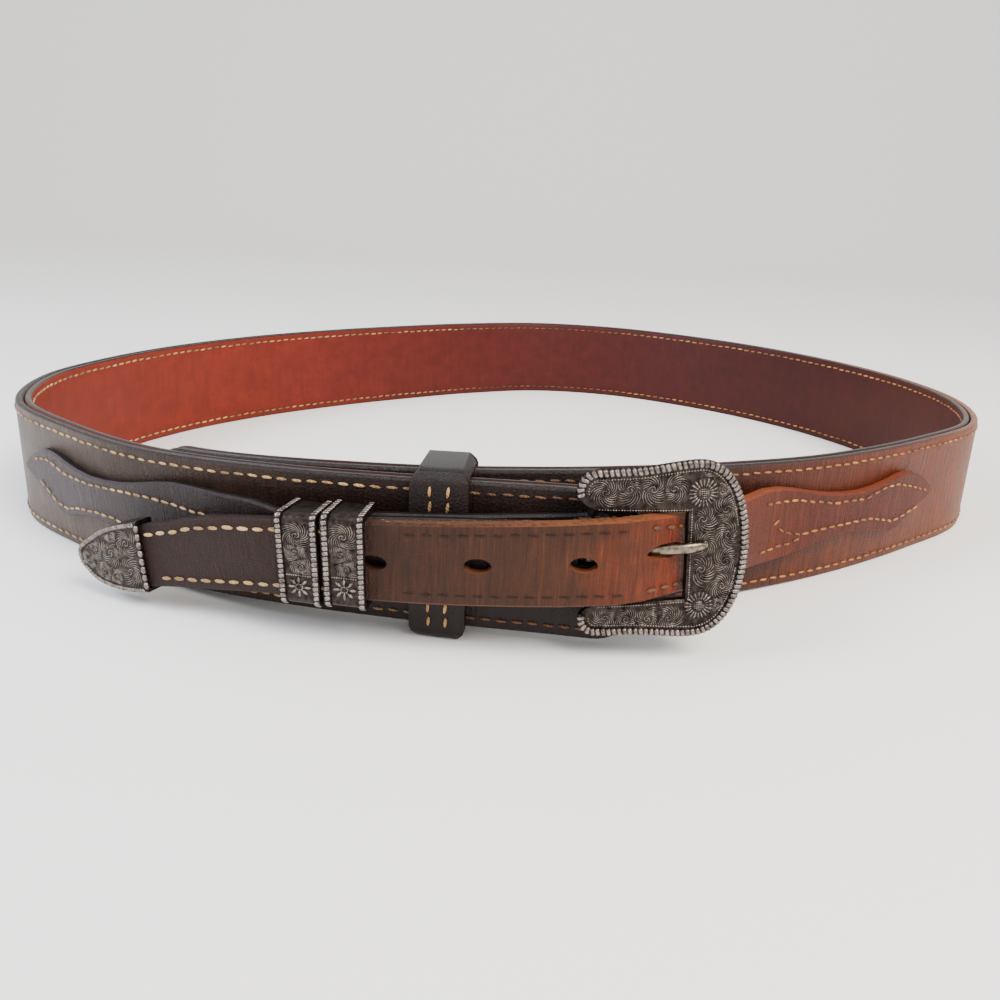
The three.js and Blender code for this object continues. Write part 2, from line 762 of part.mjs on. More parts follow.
// Tongue: a collar on the bar and a prong through the tail onto the curved end
function collar() {
  const half = collarWidth / 2;
  const corners = [[collarInner, -half], [collarOuter, -half], [collarOuter, half], [collarInner, half]];
  const profile = [...corners, corners[0]].map(([r, y]) => new THREE.Vector2(r, y));
  const geometry = new THREE.LatheGeometry(profile, 16);
  geometry.applyMatrix4(buckleFrame);
  return geometry;
}

const prongRest = plateFront + tongueClear + tongueThick / 2;
const prongRows = [
  { along: 0, out: 0, wide: 0.95, thick: 0.9 },
  { along: 0.3, out: 0.22, wide: 1, thick: 1 },
  { along: 0.55, out: 0.62, wide: 1, thick: 1 },
  { along: 0.72, out: 0.93, wide: 1, thick: 1 },
  { along: 0.82, out: 1.04, wide: 1.05, thick: 1 },
  { along: 0.93, out: 1, wide: 0.85, thick: 0.75 },
  { along: 1, out: 0.95, wide: 0.4, thick: 0.4 },
];

const prongStart = collarInner + collarWall * 0.4;
const prongOut = tableValue(prongRows, 'along', 'out');

// Middle of the prong at a distance from the bar
function prongMiddle(u) {
  const along = (u - prongStart) / (tongueReach - prongStart);
  return bentPoint(u, THREE.MathUtils.lerp(-tongueDrop, tongueLift, along), prongOut(along) * prongRest);
}

function prong() {
  const stations = prongRows.map((row) => {
    const out = row.out * prongRest;
    const half = (row.thick * tongueThick) / 2;
    const wide = (row.wide * tongueWidth) / 2;
    const up = THREE.MathUtils.lerp(-tongueDrop, tongueLift, row.along);
    return {
      at: prongStart + row.along * (tongueReach - prongStart), inner: out - half, outer: out + half,
      low: up - wide, high: up + wide, round: 0.5,
    };
  });
  return stationSolid(stations.reverse(), (u, w, v) => bentPoint(u, v, w));
}

const tongueSolid = union([collar(), prong()]);

// The worn hole sits where the prong crosses the tail, the others at the pitch beyond it
function prongCrossing() {
  const tries = evenly(tongueReach * 0.3, tongueReach * 0.85, 0.3).map((u) => {
    const target = prongMiddle(u);
    const distance = distanceNear(tailRun, target, flareLength, tailAtHeel);
    const s = tailRun.at(distance);
    return { distance, height: target.z - riseAt(s.x, s.y), gap: Math.hypot(s.x - target.x, s.y - target.y) };
  });
  return tries.reduce((best, next) => (next.gap < best.gap ? next : best));
}

const crossing = prongCrossing();
const tailBody = stationSolid(tailStations(), (at, out, height) => place(tailRun, at, out, height));
const plainHoles = Array.from({ length: holeCount - 1 }, (_, i) => {
  const distance = crossing.distance - wornPull + (i + 1) * holePitch;
  return holeCutter(distance, strapMid(tailPlace(distance)), holeLength);
});
const holes = [holeCutter(crossing.distance, crossing.height, wornHoleLength), ...plainHoles];
const tailSolid = holes.map(toManifold).reduce((body, hole) => body.subtract(hole), toManifold(tailBody));

// Leather loop: wide enough for both layers where they are furthest apart
function lapInnerAt(distance) {
  const share = THREE.MathUtils.clamp(distance / lapLength, 0, 1);
  const gap = tableValue(lapRows, 'back', 'gap')(share) * lapOpening;
  return -(2 * baseThick + lapGap + gap);
}

const loopBox = {
  inner: lapInnerAt(loopAt - loopBand / 2) - loopClear,
  outer: loopClear,
  low: -loopClear,
  high: baseWidth + loopClear,
};
const loopGeometry = ringSolid(
  outerRun, loopAt - loopBand / 2, loopAt + loopBand / 2, loopBox, loopWall, loopCorner,
);

// The straps change height and lie at a slant within a keeper, which leaves them a little slack
const keeperSlack = 0.15;

// Metal keepers: a band with two raised rims, round return, billet and tail
function keeper(index) {
  const centre = keeperAt + index * (keeperWidth + keeperSpace);
  const from = centre - keeperWidth / 2;
  const to = centre + keeperWidth / 2;
  const mid = strapMid(centre);
  const half = strapHalf(centre) + keeperClear + keeperSlack;
  const box = {
    inner: barOut - billetThick / 2 - keeperClear,
    outer: tailOut + tailThick / 2 + keeperClear + keeperSlack,
    low: mid - half,
    high: mid + half,
  };
  const band = ringSolid(outerRun, from, to, box, keeperWall, keeperCorner);
  const rimWall = keeperWall + keeperRim;
  const rimCorner = keeperCorner + keeperRim;
  const rims = [
    ringSolid(outerRun, from, from + keeperRimWidth, box, rimWall, rimCorner),
    ringSolid(outerRun, to - keeperRimWidth, to, box, rimWall, rimCorner),
  ];
  return union([band, ...rims]);
}

// Metal tip: a cap over the tail's end with a raised edge
function tipShell() {
  const outerHalf = tailThick / 2 + tipClear + tipWall;
  const innerHalf = tailThick / 2 + tipClear;
  const end = tailRun.length;
  const shares = [1, 0.8, 0.6, 0.42, 0.27, 0.15, 0.07, 0.02, 0.002];
  const shell = (grow, half, from, shorten) => shares.map((share) => {
    const at = from - (1 - share) * (from - end + shorten);
    const over = tailPlace(at);
    const reduced = tipOutline(end - shorten - at, strapHalf(over) + grow, tipLength - shorten);
    const mid = strapMid(over);
    return { at, inner: -half, outer: half, low: mid - reduced, high: mid + reduced, round: tipRim };
  });
  const mouth = end - tipLength;
  const placeOf = (at, out, height) => place(tailRun, at, out, height);
  const outside = shell(tipClear + tipWall, outerHalf, mouth, 0);
  const inside = shell(tipClear, innerHalf, mouth - 1.5, tipWall + 0.4);
  inside.forEach((station) => { station.round = 0.1; });
  return toManifold(stationSolid(outside, placeOf)).subtract(toManifold(stationSolid(inside, placeOf)));
}

// Materials
const finish = (color, roughness, metalness) => new THREE.MeshStandardMaterial({ color, roughness, metalness });
const brownLeather = finish(0x5b3322, 0.5, 0);
const redLining = finish(0x8c3226, 0.6, 0);
const darkLeather = finish(0x3b1f18, 0.45, 0);
const wornLeather = finish(0x7a4526, 0.7, 0);
const antiqueSilver = finish(0x8f8b88, 0.35, 1);

const belt = new THREE.Group();

function addPiece(name, geometry, material) {
  const mesh = new THREE.Mesh(geometry, material);
  mesh.name = name;
  belt.add(mesh);
}

addPiece('base_face', faceGeometry, brownLeather);
addPiece('base_lining', liningGeometry, redLining);
addPiece('buckle_billet', toGeometry(billetSolid), darkLeather);
addPiece('tail_billet', toGeometry(tailSolid), wornLeather);
addPiece('buckle_frame', toGeometry(buckleSolid), antiqueSilver);
addPiece('buckle_tongue', toGeometry(tongueSolid), antiqueSilver);
addPiece('leather_loop', loopGeometry, darkLeather);
const keeperNames = ['keeper_inner', 'keeper_outer'];
for (let i = 0; i < keeperCount; i++) addPiece(keeperNames[i], toGeometry(keeper(i)), antiqueSilver);
addPiece('strap_tip', toGeometry(tipShell()), antiqueSilver);

// The origin is the middle of the foot
const bounds = new THREE.Box3().setFromObject(belt);
const centre = bounds.getCenter(new THREE.Vector3());
belt.position.set(-centre.x, -centre.y, -bounds.min.z);

export default belt;
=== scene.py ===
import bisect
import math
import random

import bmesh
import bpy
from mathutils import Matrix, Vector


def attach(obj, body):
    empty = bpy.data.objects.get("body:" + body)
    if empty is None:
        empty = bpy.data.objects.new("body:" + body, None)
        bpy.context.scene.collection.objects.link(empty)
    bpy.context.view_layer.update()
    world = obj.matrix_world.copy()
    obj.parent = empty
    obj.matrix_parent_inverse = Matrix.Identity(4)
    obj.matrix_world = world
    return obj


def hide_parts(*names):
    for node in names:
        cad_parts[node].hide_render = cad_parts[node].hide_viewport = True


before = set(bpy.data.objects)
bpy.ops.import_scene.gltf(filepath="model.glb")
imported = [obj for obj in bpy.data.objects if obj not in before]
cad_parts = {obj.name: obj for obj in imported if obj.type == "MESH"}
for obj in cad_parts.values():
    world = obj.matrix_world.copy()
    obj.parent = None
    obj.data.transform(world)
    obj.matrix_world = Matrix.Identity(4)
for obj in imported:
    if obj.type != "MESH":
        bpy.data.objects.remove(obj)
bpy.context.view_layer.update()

# %% [markdown]
# # A western leather belt
#
# The belt stands on its edge, fastened. A wide base strap of two plies goes once round. Two narrower
# straps, the billets, are sewn on its front: one holds the buckle, the other is the tail with holes.
# The loaded frame gives every solid's place. This lesson dresses it: leather as flat grids that are
# wrapped along the straps, thread as small stitches, and cast ornament laid on the metal pieces.

MM = 0.001
chance = random.Random(7)

# %% [markdown]
# The camera comes first. It stands a little above the belt and looks slightly down, as the photograph
# does. It could be aimed by a constraint, but a turn round its own axis, the roll, is easier by hand:
# the camera is tipped up from looking straight down, and turned in its own frame before that.

# %% Camera
ORIGIN = Vector((0.0705, 5.4936, 0))  # from the straps' plan to the frame's zero, in millimetres
CAMERA_AT = Vector((-8.0, -358.7, 105.0)) + ORIGIN
PITCH = math.radians(18.634)
ROLL = math.radians(-2.922)
LENS_MM = 32.4
FILM_MM = 36


def linked(name, data):
    """A new object of the scene."""
    thing = bpy.data.objects.new(name, data)
    bpy.context.scene.collection.objects.link(thing)
    return thing


camera_data = bpy.data.cameras.new("camera")
camera_data.lens = LENS_MM
camera_data.sensor_width = FILM_MM
camera_data.clip_start = 0.01
camera = linked("camera", camera_data)
tipped = Matrix.Rotation(math.pi / 2 - PITCH, 4, "X") @ Matrix.Rotation(-ROLL, 4, "Z")
camera.matrix_world = Matrix.Translation(CAMERA_AT * MM) @ tipped
bpy.context.scene.camera = camera
print("camera at", [round(c) for c in CAMERA_AT], "mm, lens", LENS_MM, "mm")

# %% [markdown]
# The belt's sizes are the ones that its solids were made with, in millimetres. A strap's way is a short
# table of places in plan, joined by a smooth curve. It could be read off the solids' triangles, but
# shares of the loop's width, its depth and the strap's width keep the table readable.

# %% Sizes of the belt in millimetres
loop_width, loop_depth = 343.5, 317.0
base_width, face_ply, lining_ply, ply_gap = 38.0, 2.4, 2.1, 0.3
lap_length, lap_opening, lap_end_radius, covered_end = 140.0, 19.0, 11.0, 6.0
billet_width, billet_thick, tail_thick = 20.0, 2.4, 3.0
sew_gap, layer_gap = 0.3, 0.3
flare_length, left_flare_end, right_flare_end, return_end = 86.0, 198.0, 887.0, 92.0
heel_at, buckle_length, buckle_height, buckle_mid, arm_height = 19.2, 39.6, 43.2, 5.6, 40.6
window_top, window_top_drop, window_foot, window_foot_rise, window_length = 10.5, 1.0, 12.7, 0.4, 22.2
plate_thick, buckle_bend, buckle_roll, rim_radius = 2.2, 130.0, 4.2, 1.05
bar_radius, bar_clear, bar_drop, arm_reach, flower_radius = 1.3, 0.5, 1.0, 2.9, 3.6
loop_at, loop_band, loop_wall, loop_clear = 55.0, 14.0, 2.7, 0.5
keeper_width, keeper_at, keeper_space = 9.2, 74.4, 1.0
keeper_wall, keeper_clear, keeper_slack = 1.15, 0.3, 0.15
tail_end, tip_length, tip_wall, tip_clear = 148.4, 24.0, 0.9, 0.3
base_thick = face_ply + ply_gap + lining_ply
base_mid = base_width / 2
front_rise = loop_wall + loop_clear
fold_radius = bar_radius + bar_clear + billet_thick / 2
bar_out = sew_gap + billet_thick / 2 + fold_radius
billet_out = bar_out + fold_radius
tail_out = billet_out + billet_thick / 2 + layer_gap + tail_thick / 2
return_lifted = loop_clear + loop_wall + layer_gap + billet_thick / 2

# plan: x as a share of the loop's width, y of its depth, lean of the strap's width
plan_rows = [
    (0.096, -0.502, -0.06), (-0.029, -0.497, 0.011), (-0.154, -0.482, 0.1), (-0.273, -0.437, 0.113),
    (-0.376, -0.362, 0.079), (-0.465, -0.273, 0.013), (-0.5, -0.149, -0.047), (-0.482, -0.026, -0.068),
    (-0.439, 0.085, -0.061), (-0.373, 0.189, -0.021), (-0.288, 0.284, 0.018), (-0.192, 0.369, 0.042),
    (-0.09, 0.445, 0.05), (0.025, 0.498, 0.042), (0.151, 0.49, 0.032), (0.265, 0.43, 0.013),
    (0.362, 0.344, -0.011), (0.438, 0.236, -0.034), (0.487, 0.111, -0.042), (0.499, -0.025, -0.042),
    (0.46, -0.152, -0.011), (0.372, -0.244, 0.024), (0.274, -0.322, 0.016), (0.167, -0.388, -0.03),
]
# lap: share of its length counted back from the front, share of its opening
lap_rows = [(0, 1), (0.18, 0.49), (0.33, 0.26), (0.5, 0.13), (0.68, 0.05), (0.84, 0), (1, 0)]
# overlay: share of its length from the point, upper and lower edge in strap widths from the middle
flare_rows = [
    (0, 0.09, 0.05), (0.03, 0.15, 0.0), (0.09, 0.218, -0.05), (0.16, 0.28, -0.132), (0.23, 0.284, -0.216),
    (0.33, 0.24, -0.168), (0.44, 0.212, -0.132), (0.56, 0.222, -0.124), (0.67, 0.256, -0.168),
    (0.79, 0.31, -0.215), (0.91, 0.343, -0.235), (1, 0.33, -0.23),
]
# strap: share of the free tail from the bar, rise of its middle in base widths, width in its own
strap_rows = [
    (-0.49, 0.055, 1), (-0.285, 0.122, 0.98), (-0.17, 0.172, 0.98), (-0.108, 0.178, 1.02),
    (-0.02, 0.146, 1.03), (0.06, 0.11, 1.03), (0.2, 0.073, 1.02), (0.36, 0.045, 1.01), (0.546, 0.012, 1),
    (0.638, -0.006, 1), (0.73, -0.038, 0.98), (0.79, -0.075, 0.9), (0.89, -0.145, 0.87), (1, -0.225, 0.87),
]
print("base strap", base_width, "mm wide and", round(base_thick, 1), "mm thick")

# %% [markdown]
# Two kinds of smooth line are needed. A curve through points in plan carries a strap, and a curve
# through a table gives a height or a width at any place. Blender has curve objects for this. Here the
# sums are written out, because they have to meet the solids of the frame exactly.

# %% Smooth curves through a table
def smoothstep(value, low, high):
    share = min(max((value - low) / (high - low), 0), 1)
    return share * share * (3 - 2 * share)


def mix(a, b, share):
    return a + (b - a) * share


def table_value(rows, column):
    """A smooth curve through one column of a table whose first column counts upwards."""
    places = [row[0] for row in rows]
    values = [row[column] for row in rows]

    def value(place):
        place = min(max(place, places[0]), places[-1])
        i = min(max(bisect.bisect_right(places, place), 1), len(places) - 1)
        start, end = places[i - 1], places[i]
        before = i - 2 if i >= 2 else i
        after = i + 1 if i + 1 < len(places) else i - 1
        w0 = (end - start) / 2 / (start - places[before])
        w1 = (end - start) / 2 / (places[after] - end)
        p = (place - start) / (end - start)
        shares = (
            (before, -w0 * p**3 + 2 * w0 * p * p - w0 * p),
            (i - 1, (1 + w0) * p**3 + (-1.5 - 2 * w0) * p * p + (w0 - 0.5) * p + 1),
            (i, (-1 - w1) * p**3 + (1.5 + w1) * p * p + 0.5 * p),
            (after, w1 * p**3 - w1 * p * p),
        )
        return sum(values[k] * share for k, share in shares)

    return value


def through_points(points, along, even):
    """A place on a smooth curve through points: even spaces them alike, otherwise by their distance."""
    last = len(points) - 1
    step = min(int(along * last), last - 1)
    weight = along * last - step
    p1, p2 = points[step], points[step + 1]
    if even:
        p0, p3 = points[max(step - 1, 0)], points[min(step + 2, last)]
        start, end = (p2 - p0) / 2, (p3 - p1) / 2
    else:
        p0 = points[step - 1] if step > 0 else p1 * 2 - p2
        p3 = points[step + 2] if step + 2 <= last else p2 * 2 - p1
        d0, d1, d2 = (math.sqrt((b - a).length) for a, b in ((p0, p1), (p1, p2), (p2, p3)))
        start = ((p1 - p0) / d0 - (p2 - p0) / (d0 + d1) + (p2 - p1) / d1) * d1
        end = ((p2 - p1) / d1 - (p3 - p1) / (d1 + d2) + (p3 - p2) / d2) * d1
    return (
        p1 + start * weight + (p1 * -3 + p2 * 3 - start * 2 - end) * weight**2
        + (p1 * 2 - p2 * 2 + start + end) * weight**3
    )


# %% [markdown]
# A run is a strap's way through plan, measured by its length, with an outward direction and a lean at
# every place. A point on a strap is then three numbers: how far along, how far out and how high. That
# is simpler than bending a flat strap with a modifier. The front stands on the loop, so it is lifted.

# %% Runs and places on them
OUTER_SAMPLES, RUN_SAMPLES = 900, 1200
SEARCH_STEP = 0.1
RISE_END = 0.33  # where the front is down on the floor again, as a share of the loop's width


def span_at(lengths, distance):
    """Which span between growing lengths a distance lies in, and its share of that span."""
    i = min(max(bisect.bisect_right(lengths, distance), 1), len(lengths) - 1)
    return i, (distance - lengths[i - 1]) / (lengths[i] - lengths[i - 1])


class Run:
    def __init__(self, rows, samples):
        plan = [Vector(row[:2]) for row in rows]
        leans = [Vector(row[2:4]) for row in rows]
        self.length, self.lengths, self.samples = 0.0, [], []
        for i in range(samples + 1):
            t = i / samples
            point, lean = through_points(plan, t, False), through_points(leans, t, True)
            before, after = max(t - 1e-4, 0), min(t + 1e-4, 1)
            ahead = through_points(plan, after, False) - through_points(plan, before, False)
            ahead.normalize()
            if self.samples:
                self.length += (point - self.samples[-1][0]).length
            self.samples.append((point, lean, Vector((-ahead.y, ahead.x))))
            self.lengths.append(self.length)

    def at(self, distance):
        i, share = span_at(self.lengths, distance)
        return [mix(a, b, share) for a, b in zip(self.samples[i - 1], self.samples[i])]


def rise_at(point):
    if point.y > 0:
        return 0
    away = abs(point.x - rise_centre)
    return front_rise * (1 - smoothstep(away, loop_band, RISE_END * loop_width))


def place(run, distance, out, height):
    """A place on a run, in metres."""
    point, lean, outward = run.at(distance)
    flat = point + outward * out + lean * (height / base_width - 0.5)
    return (Vector((flat.x, flat.y, height + rise_at(point))) + ORIGIN) * MM


def follow(distance, out):
    """A row for another run: a place out from the outer run, also a little before its start."""
    inside = max(distance, 0)
    point, lean, outward = outer_run.at(inside)
    before = distance - inside
    flat = point + outward * out + Vector((outward.y, -outward.x)) * before
    return (flat.x, flat.y, lean.x, lean.y)


def distance_near(run, target, start, end):
    """The distance along a run whose place is nearest to a target."""
    tries = (start + SEARCH_STEP * i for i in range(int((end - start) / SEARCH_STEP) + 1))
    return min(tries, key=lambda d: (run.at(d)[0] - target).length)


plan_points = [Vector((x * loop_width, y * loop_depth)) for x, y, _ in plan_rows]
outer_rows = []
for i, (_, _, lean_share) in enumerate(plan_rows):
    ahead = plan_points[min(i + 1, len(plan_rows) - 1)] - plan_points[max(i - 1, 0)]
    along = ahead.normalized()
    lean = Vector((-along.y, along.x)) * lean_share * base_width
    outer_rows.append((*plan_points[i], *lean))
outer_run = Run(outer_rows, OUTER_SAMPLES)
rise_centre = outer_run.at(loop_at)[0].x
lap_points = [
    follow(back * lap_length, -(base_thick + layer_gap + gap * lap_opening)) for back, gap in lap_rows
]
base_run = Run(outer_rows + lap_points, RUN_SAMPLES)
print("outer run", round(outer_run.length, 1), "mm, base strap", round(base_run.length, 1), "mm")

# %% [markdown]
# The billets' runs follow the same base. The buckle billet goes round the buckle's bar and back, and
# the tail leaves the base on the right, passes behind the buckle's round end and lies over the bar.
# Each run is a list of rows (distance along the base, distance out of it), so it moves with the base.

# %% Runs of the billets
strap_rise, strap_wide = table_value(strap_rows, 1), table_value(strap_rows, 2)
flare_low = table_value(flare_rows, 2)
free_length = tail_end - heel_at
sewn_out, fold_start = sew_gap + billet_thick / 2, heel_at + 7
keepers_near, keepers_far = keeper_at - keeper_width / 2, keeper_at + keeper_width * 1.7

billet_back = [
    (return_end, bar_out), (keeper_at + keeper_width, bar_out), (loop_at + loop_band * 0.8, return_lifted),
    (loop_at - loop_band * 0.55, return_lifted), (fold_start + 8, sewn_out + 0.9),
    (fold_start, bar_out - fold_radius),
]
billet_front = [
    (fold_start, billet_out), (fold_start + 10, billet_out),
    (loop_at, return_lifted + billet_thick + layer_gap),
    (keepers_near, billet_out), (keepers_far, billet_out),
    (left_flare_end - flare_length - 2, billet_out * 0.62),
    (left_flare_end - flare_length * 0.86, sewn_out + 0.5),
    *((left_flare_end - flare_length * share, sewn_out) for share in (0.7, 0.45, 0.22, 0)),
]
fold_turns = []
for turn in range(0, 181, 30):
    angle = math.radians(turn)
    fold_turns.append((heel_at - math.sin(angle) * fold_radius, bar_out - math.cos(angle) * fold_radius))
billet_run = Run([follow(*row) for row in billet_back + fold_turns + billet_front], RUN_SAMPLES)

tail_sewn = sew_gap + tail_thick / 2
overlay_lifts = ((0, 0), (0.2, 0), (0.4, 0), (0.6, 0), (0.76, 0.05), (0.87, 0.7), (0.965, 2.4), (1.06, 5.2))
passing_under = (
    (37, 31.5), (33, 25.4), (29, 19.6), (25, 14.3), (21, 9.4), (16, 4.7), (11, 1.6), (6, 0.2), (0, 0), (-10, 0),
)
tail_rows = [
    *((right_flare_end + share * flare_length, tail_sewn + lift) for share, lift in overlay_lifts),
    *((heel_at - before, tail_out - under) for before, under in passing_under),
    (loop_at, tail_out + 0.35), (keepers_near, tail_out), (keepers_far, tail_out),
    (tail_end * 0.75, tail_out + 0.6), (tail_end * 0.87, tail_out + 1.2), (tail_end, tail_out + 2.2),
]
tail_run = Run([follow(*row) for row in tail_rows], RUN_SAMPLES)
over_bar = Vector(follow(heel_at, tail_out)[:2])
tail_at_heel = distance_near(tail_run, over_bar, flare_length, tail_run.length)
print("billet", round(billet_run.length, 1), "mm, tail", round(tail_run.length, 1), "mm")

# %% [markdown]
# The billets swing up and down and change their width along the way. Each of these is one small
# function of the distance, so that stitches, ornament and leather all read the same line.

# %% Heights and widths of the billets
def strap_mid(distance):
    return base_mid + strap_rise((distance - heel_at) / free_length) * base_width


def strap_half(distance):
    return strap_wide((distance - heel_at) / free_length) * billet_width / 2


def billet_mid(distance):
    left = keeper_at + keeper_width * 2
    lift = smoothstep(distance, left - 3, left + 8) * 0.08
    return strap_mid(min(distance, left)) + lift * base_width


def flare_foot(from_point, mid, half):
    """Lower edge of an overlay at a distance from its point, passing into the strap."""
    share = from_point / flare_length
    return mix(base_mid + flare_low(share) * base_width, mid - half, smoothstep(share, 0.88, 1.25))


def tail_place(distance):
    """A distance along the tail as one along the base."""
    return heel_at + distance - tail_at_heel


print("tail over the bar at height", round(strap_mid(heel_at), 1), "mm")

# %% [markdown]
# One helper wraps a flat grid round anything. Blender makes the grid, and each of its points is then
# moved to its place by a small function. A strap and a stroke of an ornament are both such grids.
# A mesh operator looks at its whole mesh, so thousands of small shapes in one mesh would be slow: each
# is made alone and then added to a heap of plain points and faces.

# %% Wrapping a flat grid
LOOSE_STROKE_M, LOOSE_STRAP_M = 0.000004, 0.00001  # points nearer than this are one


def wrapped_grid(bm, columns, rows, where):
    """Adds a grid of columns by rows faces; its point (i, j) goes to where(i, j)."""
    made = bmesh.ops.create_grid(bm, x_segments=columns, y_segments=rows, size=0.5)["verts"]
    spots = {}
    for vert in made:
        spots[vert] = (round((vert.co.x + 0.5) * columns), round((vert.co.y + 0.5) * rows))
    for vert, (i, j) in spots.items():
        vert.co = where(i, j)
    return spots


def arrays_of(bm):
    """A bmesh's points and faces; the bmesh is freed."""
    bm.verts.index_update()
    arrays = [vert.co.copy() for vert in bm.verts], [[v.index for v in face.verts] for face in bm.faces]
    bm.free()
    return arrays


class Heap:
    """Many small shapes, gathered as arrays of points and faces and joined into one mesh."""

    def __init__(self):
        self.points, self.faces = [], []

    def add(self, bm):
        """Takes a small closed bmesh in, its loose ends merged and its faces turned outwards."""
        bmesh.ops.remove_doubles(bm, verts=bm.verts, dist=LOOSE_STROKE_M)
        bmesh.ops.recalc_face_normals(bm, faces=bm.faces)
        self.put(*arrays_of(bm))

    def put(self, points, faces):
        first = len(self.points)
        self.points += points
        self.faces += [[first + index for index in face] for face in faces]


def smooth_object(shape, name, material):
    """Turns a bmesh or a heap into a smoothly shaded object."""
    mesh = bpy.data.meshes.new(name)
    if isinstance(shape, Heap):
        mesh.from_pydata(shape.points, [], shape.faces)
    else:
        shape.to_mesh(mesh)
        shape.free()
    for polygon in mesh.polygons:
        polygon.use_smooth = True
    mesh.materials.append(material)
    print(name, len(mesh.polygons), "faces")
    return linked(name, mesh)


def finished(shape, name, material, replaced=()):
    """Turns a bmesh or a heap into a piece of the belt that rides with the frame."""
    piece = smooth_object(shape, name, material)
    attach(piece, "root")
    if replaced:
        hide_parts(*replaced)


# %% [markdown]
# Materials are node networks. One function adds a node with its settings and links, and one turns a
# colour written as on a paint chart into the linear numbers that the renderer wants. All patterns are
# given by their real size: a scale of one per millimetre is 1000, because the scene is in metres.
# They sit on the object's own coordinates, so they stay on the piece wherever it is moved.

# %% Helpers for materials
HALF_LENGTH_M = 0.173


def srgb(code):
    parts = [int(code[i:i + 2], 16) / 255 for i in (1, 3, 5)]
    return (*(p / 12.92 if p <= 0.04045 else ((p + 0.055) / 1.055) ** 2.4 for p in parts), 1)


def fill(tree, node, **inputs):
    """Fills inputs with values or links; n2 is the third input, To_Min the one named To Min."""
    for name, value in inputs.items():
        key = int(name[1:]) if name[0] == "n" and name[1:].isdigit() else name.replace("_", " ")
        socket = node.inputs[key]
        if isinstance(value, bpy.types.NodeSocket):
            tree.links.new(value, socket)
        else:
            socket.default_value = value


def add_node(tree, kind, settings=None, **inputs):
    """Adds a node, sets its properties and fills its inputs."""
    node = tree.nodes.new(kind)
    for name, value in (settings or {}).items():
        setattr(node, name, value)
    fill(tree, node, **inputs)
    return node


def new_material(name):
    """A material, its tree, its shader and the object's coordinates."""
    material = bpy.data.materials.new(name)
    material.use_nodes = True
    tree = material.node_tree
    spot = add_node(tree, "ShaderNodeTexCoord").outputs["Object"]
    return material, tree, tree.nodes["Principled BSDF"], spot


def ramp(tree, factor, stops):
    node = add_node(tree, "ShaderNodeValToRGB", Fac=factor)
    band = node.color_ramp
    while len(band.elements) < len(stops):
        band.elements.new(0.5)
    for element, (position, code) in zip(band.elements, stops):
        element.position = position
        element.color = srgb(code)
    return node.outputs["Color"]


def spread(tree, spot, x, y, z):
    """Stretches a coordinate, so that one unit is that many millimetres along each direction."""
    scale = (1 / (x * MM), 1 / (y * MM), 1 / (z * MM))
    return add_node(tree, "ShaderNodeMapping", Vector=spot, Scale=scale).outputs["Vector"]


def noise_at(tree, spot, x, y, z, detail, roughness=0.5):
    """Cloudy noise whose grain is that many millimetres along each direction."""
    grain = spread(tree, spot, x, y, z)
    node = add_node(tree, "ShaderNodeTexNoise", Vector=grain, Scale=1, Detail=detail, Roughness=roughness)
    return node.outputs["Fac"]


def sums(tree, operation, *values, clamped=False):
    settings = {"operation": operation, "use_clamp": clamped}
    inputs = {f"n{i}": value for i, value in enumerate(values)}
    return add_node(tree, "ShaderNodeMath", settings, **inputs).outputs[0]


def remapped(tree, value, settings=None, **ends):
    return add_node(tree, "ShaderNodeMapRange", settings, Value=value, **ends).outputs[0]


def from_left(tree, spot):
    """0 at the belt's left end and 1 at its right one."""
    across = add_node(tree, "ShaderNodeSeparateXYZ", Vector=spot).outputs["X"]
    return remapped(tree, across, From_Min=-HALF_LENGTH_M, From_Max=HALF_LENGTH_M)


def blended(tree, factor, a, b, mode="MIX"):
    settings = {"data_type": "RGBA", "blend_type": mode}
    return add_node(tree, "ShaderNodeMix", settings, n0=factor, n6=a, n7=b).outputs[2]


def bumped(tree, shader, height, strength, distance):
    rises = add_node(tree, "ShaderNodeBump", Height=height, Strength=strength, Distance=distance)
    fill(tree, shader, Normal=rises.outputs[0])
